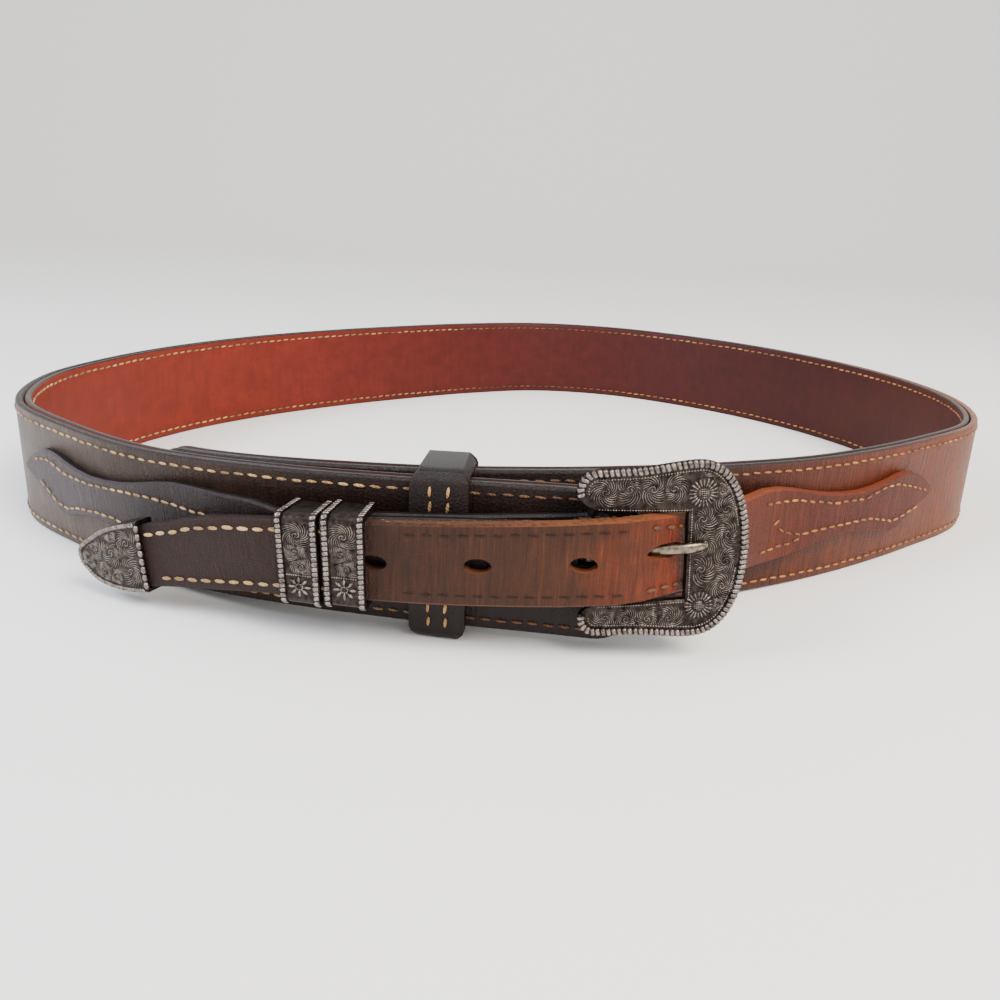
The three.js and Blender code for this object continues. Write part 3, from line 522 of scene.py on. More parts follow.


# %% [markdown]
# Vegetable-tanned strap leather, waxed. Its colour changes round the belt: greyish on the left, which is a
# painted sheen and not the leather's own tone, very dark in the middle, and orange-brown on the right, partly
# its own colour and partly painted light. An even brown would look like plastic, so fine pores, creases across
# the strap and long stains break it up. Its cut edges are burnished dark and shine, but those of the worn tail
# are raw and dull.

# %% Leather for the straps
def strap_leather(
    name, across_stops, edge_stops, grain=0.9, crease=0.5, streak=0.75, bump=0.5, gloss=0.42, raw=0.0,
):
    """Leather coloured along the belt; grain and crease are sizes, raw is 1 for unburnished edges."""
    material, tree, shader, spot = new_material(name)
    share = from_left(tree, spot)

    # the ground colour, its seams between two tones blurred by wide clouds
    wander = sums(tree, "MULTIPLY_ADD", noise_at(tree, spot, 38, 38, 24, 5, 0.6), 0.16, -0.08)
    base = ramp(tree, sums(tree, "ADD", share, wander), across_stops)
    # upright creases give the eye the direction of the hide's bend, blotches its handling
    fibres = noise_at(tree, spot, 1.5 * crease, 1.5 * crease, 14, 6, 0.68)
    creases = ((0.32, "#1c1c1c"), (0.46, "#6a6a6a"), (0.6, "#8e8e8e"), (0.74, "#d4d4d4"))
    streaked = blended(tree, streak, base, ramp(tree, fibres, creases), "OVERLAY")
    blotch = noise_at(tree, spot, 7, 7, 5, 6, 0.65)
    blotches = ramp(tree, blotch, ((0.3, "#6e6e6e"), (0.7, "#c9c9c9")))
    mottled = blended(tree, 0.4, streaked, blotches, "OVERLAY")

    # the narrow sides, where the attribute edge is 1, with a slightly torn border
    edge = add_node(tree, "ShaderNodeAttribute", {"attribute_name": "edge"}).outputs["Fac"]
    ragged = sums(tree, "MULTIPLY_ADD", noise_at(tree, spot, 1.1, 1.1, 1.1, 3), 0.5, -0.25)
    torn = sums(tree, "ADD", edge, ragged, clamped=True)
    at_edge = remapped(tree, torn, {"interpolation_type": "SMOOTHSTEP"}, From_Min=0.35, From_Max=0.75)
    colour = blended(tree, at_edge, mottled, ramp(tree, share, edge_stops))
    face_rough = remapped(tree, blotch, To_Min=gloss - 0.1, To_Max=gloss + 0.14)
    rough = add_node(tree, "ShaderNodeMix", Factor=at_edge, n2=face_rough, n3=mix(0.3, 0.8, raw))

    # pores and creases stand in relief, so the light breaks on them
    cells = spread(tree, spot, grain, grain, grain)
    pores = add_node(tree, "ShaderNodeTexVoronoi", {"feature": "DISTANCE_TO_EDGE"}, Vector=cells, Scale=1)
    pits = sums(tree, "MULTIPLY", pores.outputs["Distance"], 0.8)
    bumped(tree, shader, sums(tree, "MULTIPLY_ADD", fibres, 1.6, pits), bump, 0.0006)
    fill(tree, shader, Base_Color=colour, Roughness=rough.outputs[0], Specular_IOR_Level=0.22)
    print("leather:", name)
    return material


# grey-brown painted sheen on the left, near black in the middle, saddle brown partly painted light on the right
base_leather = strap_leather("strap_leather_painted_sheen_and_light", (
    (0.0, "#80726a"), (0.1, "#6a5a50"), (0.22, "#402c21"), (0.36, "#26120b"), (0.56, "#1c0b06"),
    (0.66, "#4c1f0d"), (0.8, "#6c2e13"), (0.93, "#7f3c1b"), (1.0, "#93502a"),
), ((0, "#0d0a0a"), (0.7, "#0f0806"), (0.86, "#34170d"), (1, "#7a4a2c")))
# gives the overlay on the left its cold, smoky grey, which is a painted sheen, against the warmer base
billet_leather = strap_leather("billet_leather_painted_sheen", (
    (0.0, "#62565a"), (0.14, "#4c3f42"), (0.26, "#2c1c1c"), (0.38, "#1e0f0b"), (0.6, "#180906"),
    (1.0, "#230f0a"),
), ((0, "#141112"), (1, "#0f0807")))
# gives the strap through the buckle its bright, rubbed, coarse orange-brown
tail_leather = strap_leather("worn_tail_leather", (
    (0.0, "#2c110c"), (0.2, "#2a100c"), (0.34, "#2d120b"), (0.42, "#3c1d0b"), (0.52, "#50290f"),
    (0.585, "#7c3314"), (0.66, "#6c2a10"), (0.8, "#5e2210"), (1.0, "#743318"),
), (
    (0, "#150b0a"), (0.38, "#1d0e0b"), (0.42, "#4f2c16"), (0.6, "#6c3a1a"), (0.7, "#6a2f16"), (1, "#6a2f16"),
), crease=0.4, bump=0.6, gloss=0.5, raw=0.8)

# %% [markdown]
# The lining is thinner, smoother leather, dyed red. It is brighter on the left and wine-coloured on the
# right, with a soft grain and a few long scuffs. It is the same network as the straps' leather, only
# with gentler numbers, which is how a maker would choose a finer hide from the same tannery.

# %% Leather for the lining
# gives the inside of the loop its warm glow behind the dark front
lining_leather = strap_leather("dyed_lining_leather", (
    (0.0, "#7d2715"), (0.12, "#782313"), (0.3, "#601a10"), (0.5, "#4c130d"), (0.72, "#41120e"),
    (0.9, "#3c120e"), (1.0, "#48190f"),
), ((0, "#1c0a08"), (1, "#180806")), grain=0.6, crease=1.6, streak=0.22, bump=0.15, gloss=0.5)

# %% [markdown]
# Waxed thread is a twist of pale tan strands, darkened by wax in places. Diagonal waves as relief are
# enough for the twist at this size. Dirt multiplies the colour along the belt, because the stitches of
# the middle are much darker than those at the sides.

# %% Waxed thread
def waxed_thread(name, dirt_stops):
    material, tree, shader, spot = new_material(name)
    stains = noise_at(tree, spot, 9, 9, 9, 3)
    stained = ramp(tree, stains, ((0.32, "#5f4a2e"), (0.5, "#957a50"), (0.7, "#bda376")))
    dirt = ramp(tree, from_left(tree, spot), dirt_stops)
    coils = spread(tree, spot, 1.4, 1.4, 1.4)
    twist = add_node(tree, "ShaderNodeTexWave", {"bands_direction": "DIAGONAL"}, Vector=coils, Scale=1)
    bumped(tree, shader, twist.outputs["Fac"], 0.5, 0.0003)
    fill(tree, shader, Base_Color=blended(tree, 1.0, stained, dirt, "MULTIPLY"), Roughness=0.7)
    print("thread:", name)
    return material


# gives every edge its dotted pale line, dirty where the hands touch the belt
thread = waxed_thread("waxed_linen_thread", (
    (0, "#ffffff"), (0.38, "#f0e4d8"), (0.44, "#94745a"), (0.62, "#8f6a4c"), (0.68, "#e6b98a"), (1, "#f6cc9e"),
))
# gives the dark loop its clean light stitches
loop_thread = waxed_thread("rubbed_linen_thread", ((0, "#f3dcc0"), (1, "#f3dcc0")))

# %% [markdown]
# The hardware is a zinc casting, plated to look like old silver: its high places are rubbed bright and
# its hollows hold a black patina. One material could find the hollows by itself, but that is costly to
# render. Here one material is for the ground of a piece and another for what stands up from it.

# %% Antiqued silver plating
def silver(name, low_code, high_code, roughness, metal):
    material, tree, shader, spot = new_material(name)
    cloud = noise_at(tree, spot, 1.3, 1.3, 1.3, 5, 0.6)
    colour = ramp(tree, cloud, ((0.34, low_code), (0.62, high_code)))
    rough = remapped(tree, cloud, To_Min=roughness, To_Max=roughness + 0.22)
    bumped(tree, shader, noise_at(tree, spot, 0.35, 0.35, 0.35, 3), 0.3, 0.0002)
    fill(tree, shader, Base_Color=colour, Roughness=rough, Metallic=metal)
    print("metal:", name)
    return material


# gives the ornament a black ground to stand on
silver_ground = silver("antiqued_silver_ground", "#0f0c0b", "#3a322e", 0.36, 0.92)
# gives ropes, beads and scrolls their light crests
silver_bright = silver("antiqued_silver_rubbed", "#4a423d", "#8f8680", 0.27, 1.0)
# gives the tongue the smooth, yellowish shine of plating worn by use
silver_worn = silver("worn_silver_plating", "#4f453b", "#857a6c", 0.2, 1.0)

# %% [markdown]
# A strap is a grid wrapped round into a long tube with a rounded section. Each place along it has an
# inner and an outer face and a low and a high edge. An attribute called edge is 1 on the narrow sides,
# so that the leather's material can burnish them. A bevel modifier would round the corners too, but it
# wouldn't leave that attribute behind.

# %% Wrapping a strap
CORNER_STEPS = 3
FACE_STEPS = 8
STRAP_ROUNDING = 0.85


def rounded_corners(inner, outer, low, high, corner, reach, steps):
    """Four lists of (out, height, angle) round a section, from its low outer corner upwards."""
    left, right, foot, crest = inner + corner, outer - corner, low + corner, high - corner
    for x, y, start in ((right, foot, -90), (right, crest, 0), (left, crest, 90), (left, foot, 180)):
        angles = [math.radians(start + 90 * k / steps) for k in range(steps + 1)]
        yield [(x + math.cos(angle) * reach, y + math.sin(angle) * reach, angle) for angle in angles]


def section_points(inner, outer, low, high):
    """Points round a strap's section as (out, height, edge)."""
    radius = max(min(STRAP_ROUNDING, (outer - inner) / 2.2, (high - low) / 2.2), 0.02)
    faces = {0: (outer, low + radius, high - radius), 2: (inner, high - radius, low + radius)}
    points = []
    for index, turn in enumerate(rounded_corners(inner, outer, low, high, radius, radius, CORNER_STEPS)):
        points += [(x, y, abs(math.sin(angle))) for x, y, angle in turn]
        if index in faces:
            out, near, far = faces[index]
            points += [(out, mix(near, far, k / FACE_STEPS), 0) for k in range(1, FACE_STEPS)]
    return points + points[:1]


def wrap_strap(run, stations):
    """A strap as a closed tube; a station is (distance, inner, outer, low, high)."""
    bm = bmesh.new()
    edge_layer = bm.verts.layers.float.new("edge")
    sections = [section_points(*station[1:]) for station in stations]

    def where(i, j):
        return place(run, stations[i][0], *sections[i][j][:2])

    for vert, (i, j) in wrapped_grid(bm, len(stations) - 1, len(sections[0]) - 1, where).items():
        vert[edge_layer] = sections[i][j][2]
    bmesh.ops.remove_doubles(bm, verts=bm.verts, dist=LOOSE_STRAP_M)
    bmesh.ops.holes_fill(bm, edges=[e for e in bm.edges if e.is_boundary], sides=0)
    bmesh.ops.recalc_face_normals(bm, faces=bm.faces)
    return bm


def evenly(start, end, spacing):
    count = max(1, round(abs(end - start) / spacing))
    return [mix(start, end, i / count) for i in range(count + 1)]


# %% [markdown]
# The base strap is two plies of leather, glued back to back and sewn, with a thin line between them.
# Each ply is wrapped anew, because the solid's flat sections would show as facets on its long curves.
# Both its ends are cut round: one is hidden by the overlay, the other shows inside the lap.

# %% Base strap
END_CUT = 0.03
BASE_STEP = 3.5


def base_ply(name, node, inner, outer, material):
    end = base_run.length
    bends = [lap_end_radius * (1 - math.sin(math.radians(t))) for t in range(0, 90, 9)]
    distances = [covered_end + END_CUT, *(covered_end + bend for bend in bends[:0:-1])]
    distances += evenly(covered_end + lap_end_radius, end - lap_end_radius, BASE_STEP)[:-1]
    distances += [*(end - bend for bend in bends), end - END_CUT]
    stations = []
    for distance in distances:
        into = max(lap_end_radius - (end - distance), lap_end_radius - (distance - covered_end), 0)
        cut = lap_end_radius - math.sqrt(max(lap_end_radius**2 - into**2, 0))
        stations.append((distance, inner, outer, cut, base_width - cut))
    finished(wrap_strap(base_run, stations), name, material, [node])


base_ply("face_ply", "base_face", -face_ply, 0, base_leather)
base_ply("lining_ply", "base_lining", -base_thick, -(face_ply + ply_gap), lining_leather)

# %% [markdown]
# The billets, the loop, the keepers and the cast pieces have the right form already. Each one is copied
# from the frame, its loose triangles are merged, and it is shaded smoothly except at sharp corners.
# Only the loop changes: it is thick soft leather, so its corners are rounded and its turns over the
# strap's edges are pinched a little narrower.

# %% Smooth copies of the frame's pieces
PINCH, PINCH_HEIGHT = 0.26, 4.5
EDGE_FROM, EDGE_FADE = 0.6, 0.2


def smooth_copy(name, node, material, sharp_degrees=38, rounding=0.0):
    bm = bmesh.new()
    bm.from_mesh(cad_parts[node].data)
    bmesh.ops.remove_doubles(bm, verts=bm.verts, dist=LOOSE_STRAP_M)
    bmesh.ops.recalc_face_normals(bm, faces=bm.faces)
    edge_layer = bm.faces.layers.float.new("edge")
    sharp = math.radians(sharp_degrees)
    for face in bm.faces:
        face[edge_layer] = smoothstep(abs(face.normal.z), EDGE_FROM, EDGE_FROM + EDGE_FADE)
    for line in bm.edges:
        line.smooth = len(line.link_faces) == 2 and line.calc_face_angle(0) < sharp
    if rounding:
        corners = [line for line in bm.edges if not line.smooth]
        bmesh.ops.bevel(
            bm, geom=corners, offset=rounding * MM, offset_type="OFFSET", segments=4, profile=0.5,
            affect="EDGES", clamp_overlap=True, material=-1,
        )
        for line in bm.edges:
            line.smooth = True
        middle = sum((vert.co.x for vert in bm.verts), 0.0) / len(bm.verts)
        top = max(vert.co.z for vert in bm.verts)
        for vert in bm.verts:
            to_turn = min(vert.co.z, top - vert.co.z)
            near_turn = (1 - smoothstep(to_turn, 0, PINCH_HEIGHT * MM)) ** 2
            vert.co.x = mix(vert.co.x, middle, PINCH * near_turn)
    finished(bm, name, material, [node])


smooth_copy("billet_leather", "buckle_billet", billet_leather)
smooth_copy("tail_leather", "tail_billet", tail_leather)
smooth_copy("loop_leather", "leather_loop", billet_leather, 60, 1.25)
smooth_copy("buckle_casting", "buckle_frame", silver_ground)
smooth_copy("tongue_casting", "buckle_tongue", silver_worn, 50)
for node in ("keeper_inner", "keeper_outer"):
    smooth_copy(f"{node}_band", node, silver_ground)
smooth_copy("tip_cap", "strap_tip", silver_ground)

# %% [markdown]
# The buckle has its own frame of directions: u from the bar to the round end, v up and w outwards. Its
# plate is bent round a large radius, so an ornament drawn flat in u and v follows the bend. The outline
# of the casting and of its window are two small functions, which keep the ornament inside the metal.

# %% The buckle's face
plate_front = bar_drop + plate_thick / 2
curved_end = buckle_length - arm_reach
_, _, heel_out = outer_run.at(heel_at)
buckle_along = Vector((-heel_out.y, heel_out.x, 0))
buckle_up = Vector((0, 0, 1))
buckle_basis = Matrix((buckle_along, buckle_up, buckle_along.cross(buckle_up))).transposed()
buckle_zero = place(outer_run, heel_at, bar_out, base_mid + buckle_mid)
roll_turn = Matrix.Rotation(math.radians(buckle_roll), 3, "Z")
print("buckle's bar at", [round(c / MM, 1) for c in buckle_zero], "mm")


def buckle_face(u, v, w):
    angle, radius = u / buckle_bend, buckle_bend + plate_front + w
    flat = Vector((math.sin(angle) * radius, v, math.cos(angle) * radius - buckle_bend))
    return buckle_zero + buckle_basis @ roll_turn @ flat * MM


def outer_edge(u):
    swell = smoothstep(u, window_length * 0.35, window_length * 1.1)
    half = mix(arm_height / 2, buckle_height / 2, swell)
    start = window_length * 1.02
    if u <= start:
        return half
    share = (u - start) / (curved_end - start)
    return half * max(1 - share**2.5, 0) ** 0.48


def window_edge(u, side):
    share = min(max(u / window_length, 0), 1)
    return window_top - window_top_drop * share if side > 0 else window_foot - window_foot_rise * share


# %% [markdown]
# Engraved and cast ornament is drawn with strokes. A stroke is a low ridge with a crest, thin at both
# ends, laid on a surface. A whirl is a ring of curved strokes with a curl in its middle, the traditional
# scroll of western silver. Strokes stop where a neighbouring whirl is nearer or the metal ends. A bump
# texture would look the same from afar, but only real ridges catch the light from the side.

# %% Strokes, whirls and beads
SINK = 0.08  # a stroke's foot is that deep in its surface
ARM_SWEEP, CURL_SWEEP = 1.5, 4.4  # radians that a stroke turns on its way out
ARM_REACH, CURL_REACH = (0.36, 1.22), (0.05, 0.34)  # shares of a whirl's radius
BLOCKY = 0.55  # below 1, a ball is pushed out towards a rounded block


class Line:
    """A line through flat points, measured by its length."""

    def __init__(self, points):
        self.points, self.lengths = points, [0.0]
        for a, b in zip(points, points[1:]):
            self.lengths.append(self.lengths[-1] + math.dist(a, b))
        self.length = self.lengths[-1]

    def at(self, distance):
        """The place at a distance, and both ends of the line's straight piece there."""
        i, share = span_at(self.lengths, distance)
        start, end = Vector(self.points[i - 1]), Vector(self.points[i])
        return Vector([mix(p, q, share) for p, q in zip(start, end)]), start, end


def ray(middle, angle, near, far):
    """Six points outwards from a middle, for a petal."""
    along = Vector((math.cos(angle), math.sin(angle)))
    return [tuple(middle + along * mix(near, far, k / 5)) for k in range(6)]


def stroke(heap, surface, points, width, height, lift=0.0):
    """A ridge along flat points (a, b), as a closed body of three sides."""
    if len(points) < 3:
        return
    last = len(points) - 1

    def where(i, j):
        before, after = points[max(i - 1, 0)], points[min(i + 1, last)]
        along = Vector((after[0] - before[0], after[1] - before[1]))
        along = along.normalized() if along.length > 1e-9 else Vector((1, 0))
        taper = max(math.sin(math.pi * (i + 0.12) / (last + 0.24)), 0.02) ** 0.6
        side = (0.5, 0, -0.5, 0.5)[j] * width * taper
        tall = lift + (height * taper if j == 1 else -SINK)
        return surface(points[i][0] - along.y * side, points[i][1] + along.x * side, tall)

    bm = bmesh.new()
    wrapped_grid(bm, last, 3, where)
    heap.add(bm)


def whirls(heap, surface, centres, inside, width=0.25, height=0.18, arms=17):
    """Whirls from rows (a, b, radius, turn, start degrees)."""
    def nearest(a, b):
        away = [math.hypot(a - a0, b - b0) / radius for a0, b0, radius, _, _ in centres]
        return away.index(min(away))

    steps = [k / 9 for k in range(10)]
    for index, (a0, b0, radius, turn, start) in enumerate(centres):
        paths = []
        for arm in range(arms):
            first = math.radians(start) + math.tau * arm / arms
            paths.append([(first + turn * ARM_SWEEP * t, radius * mix(*ARM_REACH, t)) for t in steps])
        for half in (0, math.pi):
            first = math.radians(start) + half
            paths.append([(first + turn * CURL_SWEEP * t, radius * mix(*CURL_REACH, t)) for t in steps])
        for path in paths:
            kept = []
            for angle, r in path:
                a, b = a0 + math.cos(angle) * r, b0 + math.sin(angle) * r
                if not inside(a, b) or nearest(a, b) != index:
                    break
                kept.append((a, b))
            stroke(heap, surface, kept, width, height)


def ball(u_segments, v_segments):
    """Points and faces of a ball one millimetre across."""
    bm = bmesh.new()
    bmesh.ops.create_uvsphere(bm, u_segments=u_segments, v_segments=v_segments, radius=0.5 * MM)
    return arrays_of(bm)


def blocky(value):
    return math.copysign(abs(value / MM * 2) ** BLOCKY, value) * MM / 2


bead_ball = ball(8, 5)
block_points, block_faces = ball(12, 8)
block_ball = ([Vector([blocky(c) for c in point]) for point in block_points], block_faces)


def sunk(surface, depth):
    return lambda a, b, w: surface(a, b, w - depth)


def put_ball(heap, shape, at, ahead, out, size):
    """A ball stretched to a size (along, across, out) at a place, with its length ahead."""
    basis = Matrix((ahead, out.cross(ahead), out)).transposed() @ Matrix.Diagonal(size)
    heap.put([at + basis @ point for point in shape[0]], shape[1])


def bead_row(heap, surface, points, pitch, size, slant=0.0, shape=bead_ball):
    """Beads along flat points; a size is (along, across, out) and the slant turns each in its place."""
    line = Line(points)
    count = max(2, round(line.length / pitch))
    for k in range(count):
        middle = (k + 0.5) * line.length / count
        spot, _, _ = line.at(middle)
        along = line.at(min(middle + 0.2, line.length))[0] - line.at(max(middle - 0.2, 0))[0]
        along = Matrix.Rotation(slant, 2) @ along.normalized()
        at = surface(spot.x, spot.y, 0)
        ahead = (surface(spot.x + along.x * 0.1, spot.y + along.y * 0.1, 0) - at).normalized()
        out = (surface(spot.x, spot.y, 0.1) - at).normalized()
        put_ball(heap, shape, at, ahead, out, size)


print("bead", len(bead_ball[1]), "faces, rope bead", len(block_faces), "faces")

# %% [markdown]
# The buckle's rope edge is a row of wide beads over the rim of the casting. Inside it runs a line of
# small beads, another runs round the window, and whirls and two flowers fill the plate. On the real
# buckle all of it comes out of one mould. It is laid on here, so each part can be spaced by itself.

# %% Ornament of the buckle
SMALL_BEAD = (0.5, 0.42, 0.4)
ROPE_PITCH, ROPE_BEAD, ROPE_SLANT = 1.25, (1.12, 1.95, 2.15), 0.25
PETALS, SEED_RADIUS, SEED_PITCH = 20, 1.35, 0.5
PETAL, SEED_LINE = (0.62, 0.24, 0.3), (0.24, 0.2, 0.5)  # width, height and lift of a stroke
flower_u, flower_v = window_length + 3.2, buckle_height * 0.325
# rows of (u, v, radius, turn, start degrees): upper arm, lower arm, round end, gaps beside the flowers
buckle_whirls = [
    (3.3, 15.1, 3.1, 1, 20), (8.6, 15.6, 3.3, -1, 80), (13.9, 15.5, 3.3, 1, 140), (18.7, 15.4, 2.9, -1, 200),
    (3.4, -16.1, 2.7, -1, 20), (8.3, -16.6, 2.9, 1, 80), (13.3, -16.9, 3.0, -1, 140),
    (18.3, -17.0, 3.0, 1, 200), (25.6, 7.6, 3.6, 1, 0), (31.2, 9.6, 3.2, -1, 60), (26.2, 1.4, 3.0, -1, 30),
    (31.8, 3.3, 3.3, 1, 90), (25.6, -5.0, 3.9, 1, 10), (31.6, -3.4, 3.2, -1, 70), (31.0, -9.6, 3.1, 1, 120),
    (26.2, -19.6, 1.8, -1, 0), (26.2, 19.4, 1.8, 1, 0), (30.2, 14.2, 1.7, -1, 0), (30.2, -14.4, 1.7, 1, 0),
]


def buckle_side(side, inset):
    """Points along one half's outer edge, inset from it, from the arm's end to the round end."""
    outer = outer_edge(0)
    radius = (outer - window_edge(0, side)) / 2
    reach = radius - inset
    points = []
    for degrees in range(200, 94, -12):
        angle = math.radians(degrees)
        u = radius * 1.1 - arm_reach + math.cos(angle) * reach * 1.1
        points.append((u, outer - radius + math.sin(angle) * reach))
    start = window_length * 1.05
    points += [(u, outer_edge(u) - inset) for u in evenly(radius * 1.3, start, 1.5)]
    for share in evenly(0.1, 0.97, 0.06):
        u = start + (curved_end - start) * share
        points.append((u - inset * share, outer_edge(u) - inset * (1 - share * 0.6)))
    return [(u, v * side) for u, v in points]


def on_plate(u, v):
    side = 1 if v > 0 else -1
    if u > curved_end - 2.6 or u < -0.9:
        return False
    if math.hypot(u - flower_u, abs(v) - flower_v) < flower_radius + 0.15:
        return False
    edge_in = 2.1 + 1.4 * smoothstep(u, window_length, curved_end)
    clear_of_window = u > window_length + 1.5 or abs(v) > window_edge(u, side) + 1.2
    return abs(v) < outer_edge(u) - edge_in and clear_of_window


heap = Heap()
whirls(heap, buckle_face, buckle_whirls, on_plate)
for side in (1, -1):
    middle = Vector((flower_u, flower_v * side))
    for petal in range(PETALS):
        points = ray(middle, math.tau * petal / PETALS, 1.5, flower_radius * 0.98)
        stroke(heap, buckle_face, points, *PETAL)
    for k in range(-2, 3):
        half = math.sqrt(max(SEED_RADIUS**2 - (k * SEED_PITCH) ** 2, 0.1))
        for line_way in (Vector((1, 0)), Vector((0, 1))):
            start = middle + line_way.yx * k * SEED_PITCH
            points = [tuple(start + line_way * half * t) for t in (-1, -0.5, 0, 0.5, 1)]
            stroke(heap, buckle_face, points, *SEED_LINE)
    window_line = [(u, (window_edge(u, side) + 0.55) * side) for u in evenly(1.6, window_length + 0.6, 1)]
    bead_row(heap, buckle_face, window_line, 0.62, SMALL_BEAD)
    bead_row(heap, buckle_face, buckle_side(side, 2.15), 0.66, (0.54, 0.42, 0.4))
window_end = [(window_length + 0.75, v) for v in evenly(-window_foot, window_top, 1)]
bead_row(heap, buckle_face, window_end, 0.62, SMALL_BEAD)
finished(heap, "buckle_scrolls", silver_bright)

heap = Heap()
rope_in = rim_radius * 0.55
rope_line = buckle_side(1, rope_in) + [(curved_end - rope_in, 0)] + buckle_side(-1, rope_in)[::-1]


rope_bed = sunk(buckle_face, rim_radius * 0.3)
bead_row(heap, rope_bed, rope_line, ROPE_PITCH, ROPE_BEAD, ROPE_SLANT, block_ball)
finished(heap, "buckle_rope", silver_bright)

# %% [markdown]
# Each keeper is a band of cast silver round the straps. Both its edges are roped, its face shows a
# whirl above a small flower, and fine beads divide the two. The rope goes round the band on a line of
# its section, so the beads meet at the back as they do in front.

# %% Ornament of the keepers
KEEPER_CORNER, KEEPER_ROPE_IN, KEEPER_ROPE_PITCH, KEEPER_ROPE_SLANT = 0.5, 0.75, 1.3, 0.35
KEEPER_ROPE_BEAD = (1.12, 1.5, 1.2)
KEEPER_SCROLL, KEEPER_PETAL = (0.32, 0.26), (1.05, 0.4)
FLOWER_AT = -6.8
keeper_whirls = [(0, 6.6, 2.9, 1, 0), (-0.6, 2.2, 2.2, -1, 40), (0.8, -1.4, 2.2, 1, 90)]


def ring_line(inner, outer, low, high):
    """A line (out, height) round a keeper's section, on its outside."""
    reach = KEEPER_CORNER + keeper_wall
    turns = rounded_corners(inner, outer, low, high, KEEPER_CORNER, reach, 5)
    points = [(x, y) for turn in turns for x, y, _ in turn]
    return Line(points + points[:1])


for index in range(2):
    centre = keeper_at + index * (keeper_width + keeper_space)
    mid, half = strap_mid(centre), strap_half(centre) + keeper_clear + keeper_slack
    inner = bar_out - billet_thick / 2 - keeper_clear
    outer = tail_out + tail_thick / 2 + keeper_clear + keeper_slack
    ring = ring_line(inner, outer, mid - half, mid + half)
    count = round(ring.length / KEEPER_ROPE_PITCH)
    heap = Heap()
    for side in (-1, 1):
        edge_at = centre + side * (keeper_width / 2 - KEEPER_ROPE_IN)
        for k in range(count):
            spot, start, end = ring.at((k + 0.5) * ring.length / count)
            at = place(outer_run, edge_at, *spot)
            along = (place(outer_run, edge_at, *end) - place(outer_run, edge_at, *start)).normalized()
            across = (place(outer_run, edge_at + 0.5, *spot) - at).normalized()
            along = (along + across * KEEPER_ROPE_SLANT).normalized()
            put_ball(heap, block_ball, at, along, along.cross(across).normalized(), KEEPER_ROPE_BEAD)

    def keeper_face(a, b, w):
        return place(outer_run, centre - a, outer + keeper_wall + w, mid + b)

    def on_keeper(a, b):
        return abs(a) < keeper_width / 2 - 1.5 and -3.4 < b < half - 0.5

    whirls(heap, keeper_face, keeper_whirls, on_keeper, *KEEPER_SCROLL)
    for petal in range(8):
        points = ray(Vector((0, FLOWER_AT)), math.tau * petal / 8, 1.0, 2.7)
        stroke(heap, keeper_face, points, *KEEPER_PETAL)
    flower_eye = [(math.cos(t) * 0.8, FLOWER_AT + math.sin(t) * 0.8) for t in evenly(0, math.tau, 0.5)]
    bead_row(heap, keeper_face, flower_eye, 0.5, (0.45, 0.45, 0.4))
    bead_row(heap, keeper_face, [(a, -3.75) for a in evenly(-2.9, 2.9, 0.5)], 0.55, (0.45, 0.4, 0.35))
    finished(heap, f"keeper_ornament_{index + 1}", silver_bright)

# %% [markdown]
# The tip is a cast cap that keeps the strap's end from fraying. Its face is covered with whirls inside
# a roped border that follows its outline, and a row of larger beads closes it towards the leather. The
# surface is the tail's own run, a wall's thickness further out.

# %% Ornament of the strap's tip
tip_out = tail_thick / 2 + tip_clear + tip_wall
TIP_POWER, TIP_BLUNTNESS = 2.2, 0.62  # as in the solid's outline
TIP_SCROLL = (0.36, 0.26)
tip_whirls = [
    (19.6, 4.2, 3.6, 1, 0), (19.4, -3.8, 3.6, -1, 40), (13.4, 1.6, 3.6, -1, 80), (9.6, -3.6, 2.9, 1, 30),
    (7.6, 2.6, 2.9, 1, 60), (4.2, -0.6, 2.2, -1, 0), (14.4, -5.2, 2.2, 1, 0), (14.6, 6.2, 2.2, -1, 0),
]


def tip_face(a, b, w):
    """a counts from the strap's end back towards the keepers."""
    distance = tail_run.length - a
    return place(tail_run, distance, tip_out + w, strap_mid(tail_place(distance)) + b)


def tip_half(a, inset):
    share = min(max(1 - a / tip_length, 0), 1)
    wide = strap_half(tail_place(tail_run.length - a)) + tip_clear + tip_wall
    return wide * max(1 - share**TIP_POWER, 0) ** TIP_BLUNTNESS - inset


def on_tip(a, b):
    return 1.8 < a < tip_length - 0.8 and abs(b) < tip_half(a, 1.7)


heap = Heap()
whirls(heap, tip_face, tip_whirls, on_tip, *TIP_SCROLL)
border = [(a, tip_half(a, 0.75)) for a in evenly(tip_length - 0.6, 1.4, 0.8)]
border += [(0.9, 0)] + [(a, -b) for a, b in border[::-1]]
bead_row(heap, tip_face, border, 0.9, (0.84, 1.2, 0.7), 0.5, block_ball)
mouth = tip_half(tip_length, 0.9)
scallops = [(tip_length - 0.1, b) for b in evenly(-mouth, mouth, 0.4)]
bead_row(heap, sunk(tip_face, 0.25), scallops, 2.2, (2.3, 1.5, 1.3))
finished(heap, "tip_ornament", silver_bright)

# %% [markdown]
# The belt is sewn by hand or on a heavy machine: a waxed thread comes up, runs a few millimetres and
# goes down again. Such a stitch is a short roll, half sunk in the leather. Rows are charted by the
# place along the strap and the height, and one function sets the stitches along a row at their pitch.
# Each one is turned and stretched a little by chance, because an exact row looks printed.

# %% Stitches
FOOT_ROW, TOP_ROW = 2.7, base_width - 2.6
BILLET_STITCH, OVERLAY_STITCH = (3.5, 2.9), (3.6, 2.9)  # pitch, length and, if not usual, thickness
TAIL_STITCH, BARE_SLOT, LOOP_STITCH = (4.0, 3.1, 1.05), (4.0, 2.7, 0.34), (3.75, 3.0, 0.85)
stitch_ball = ball(7, 6)


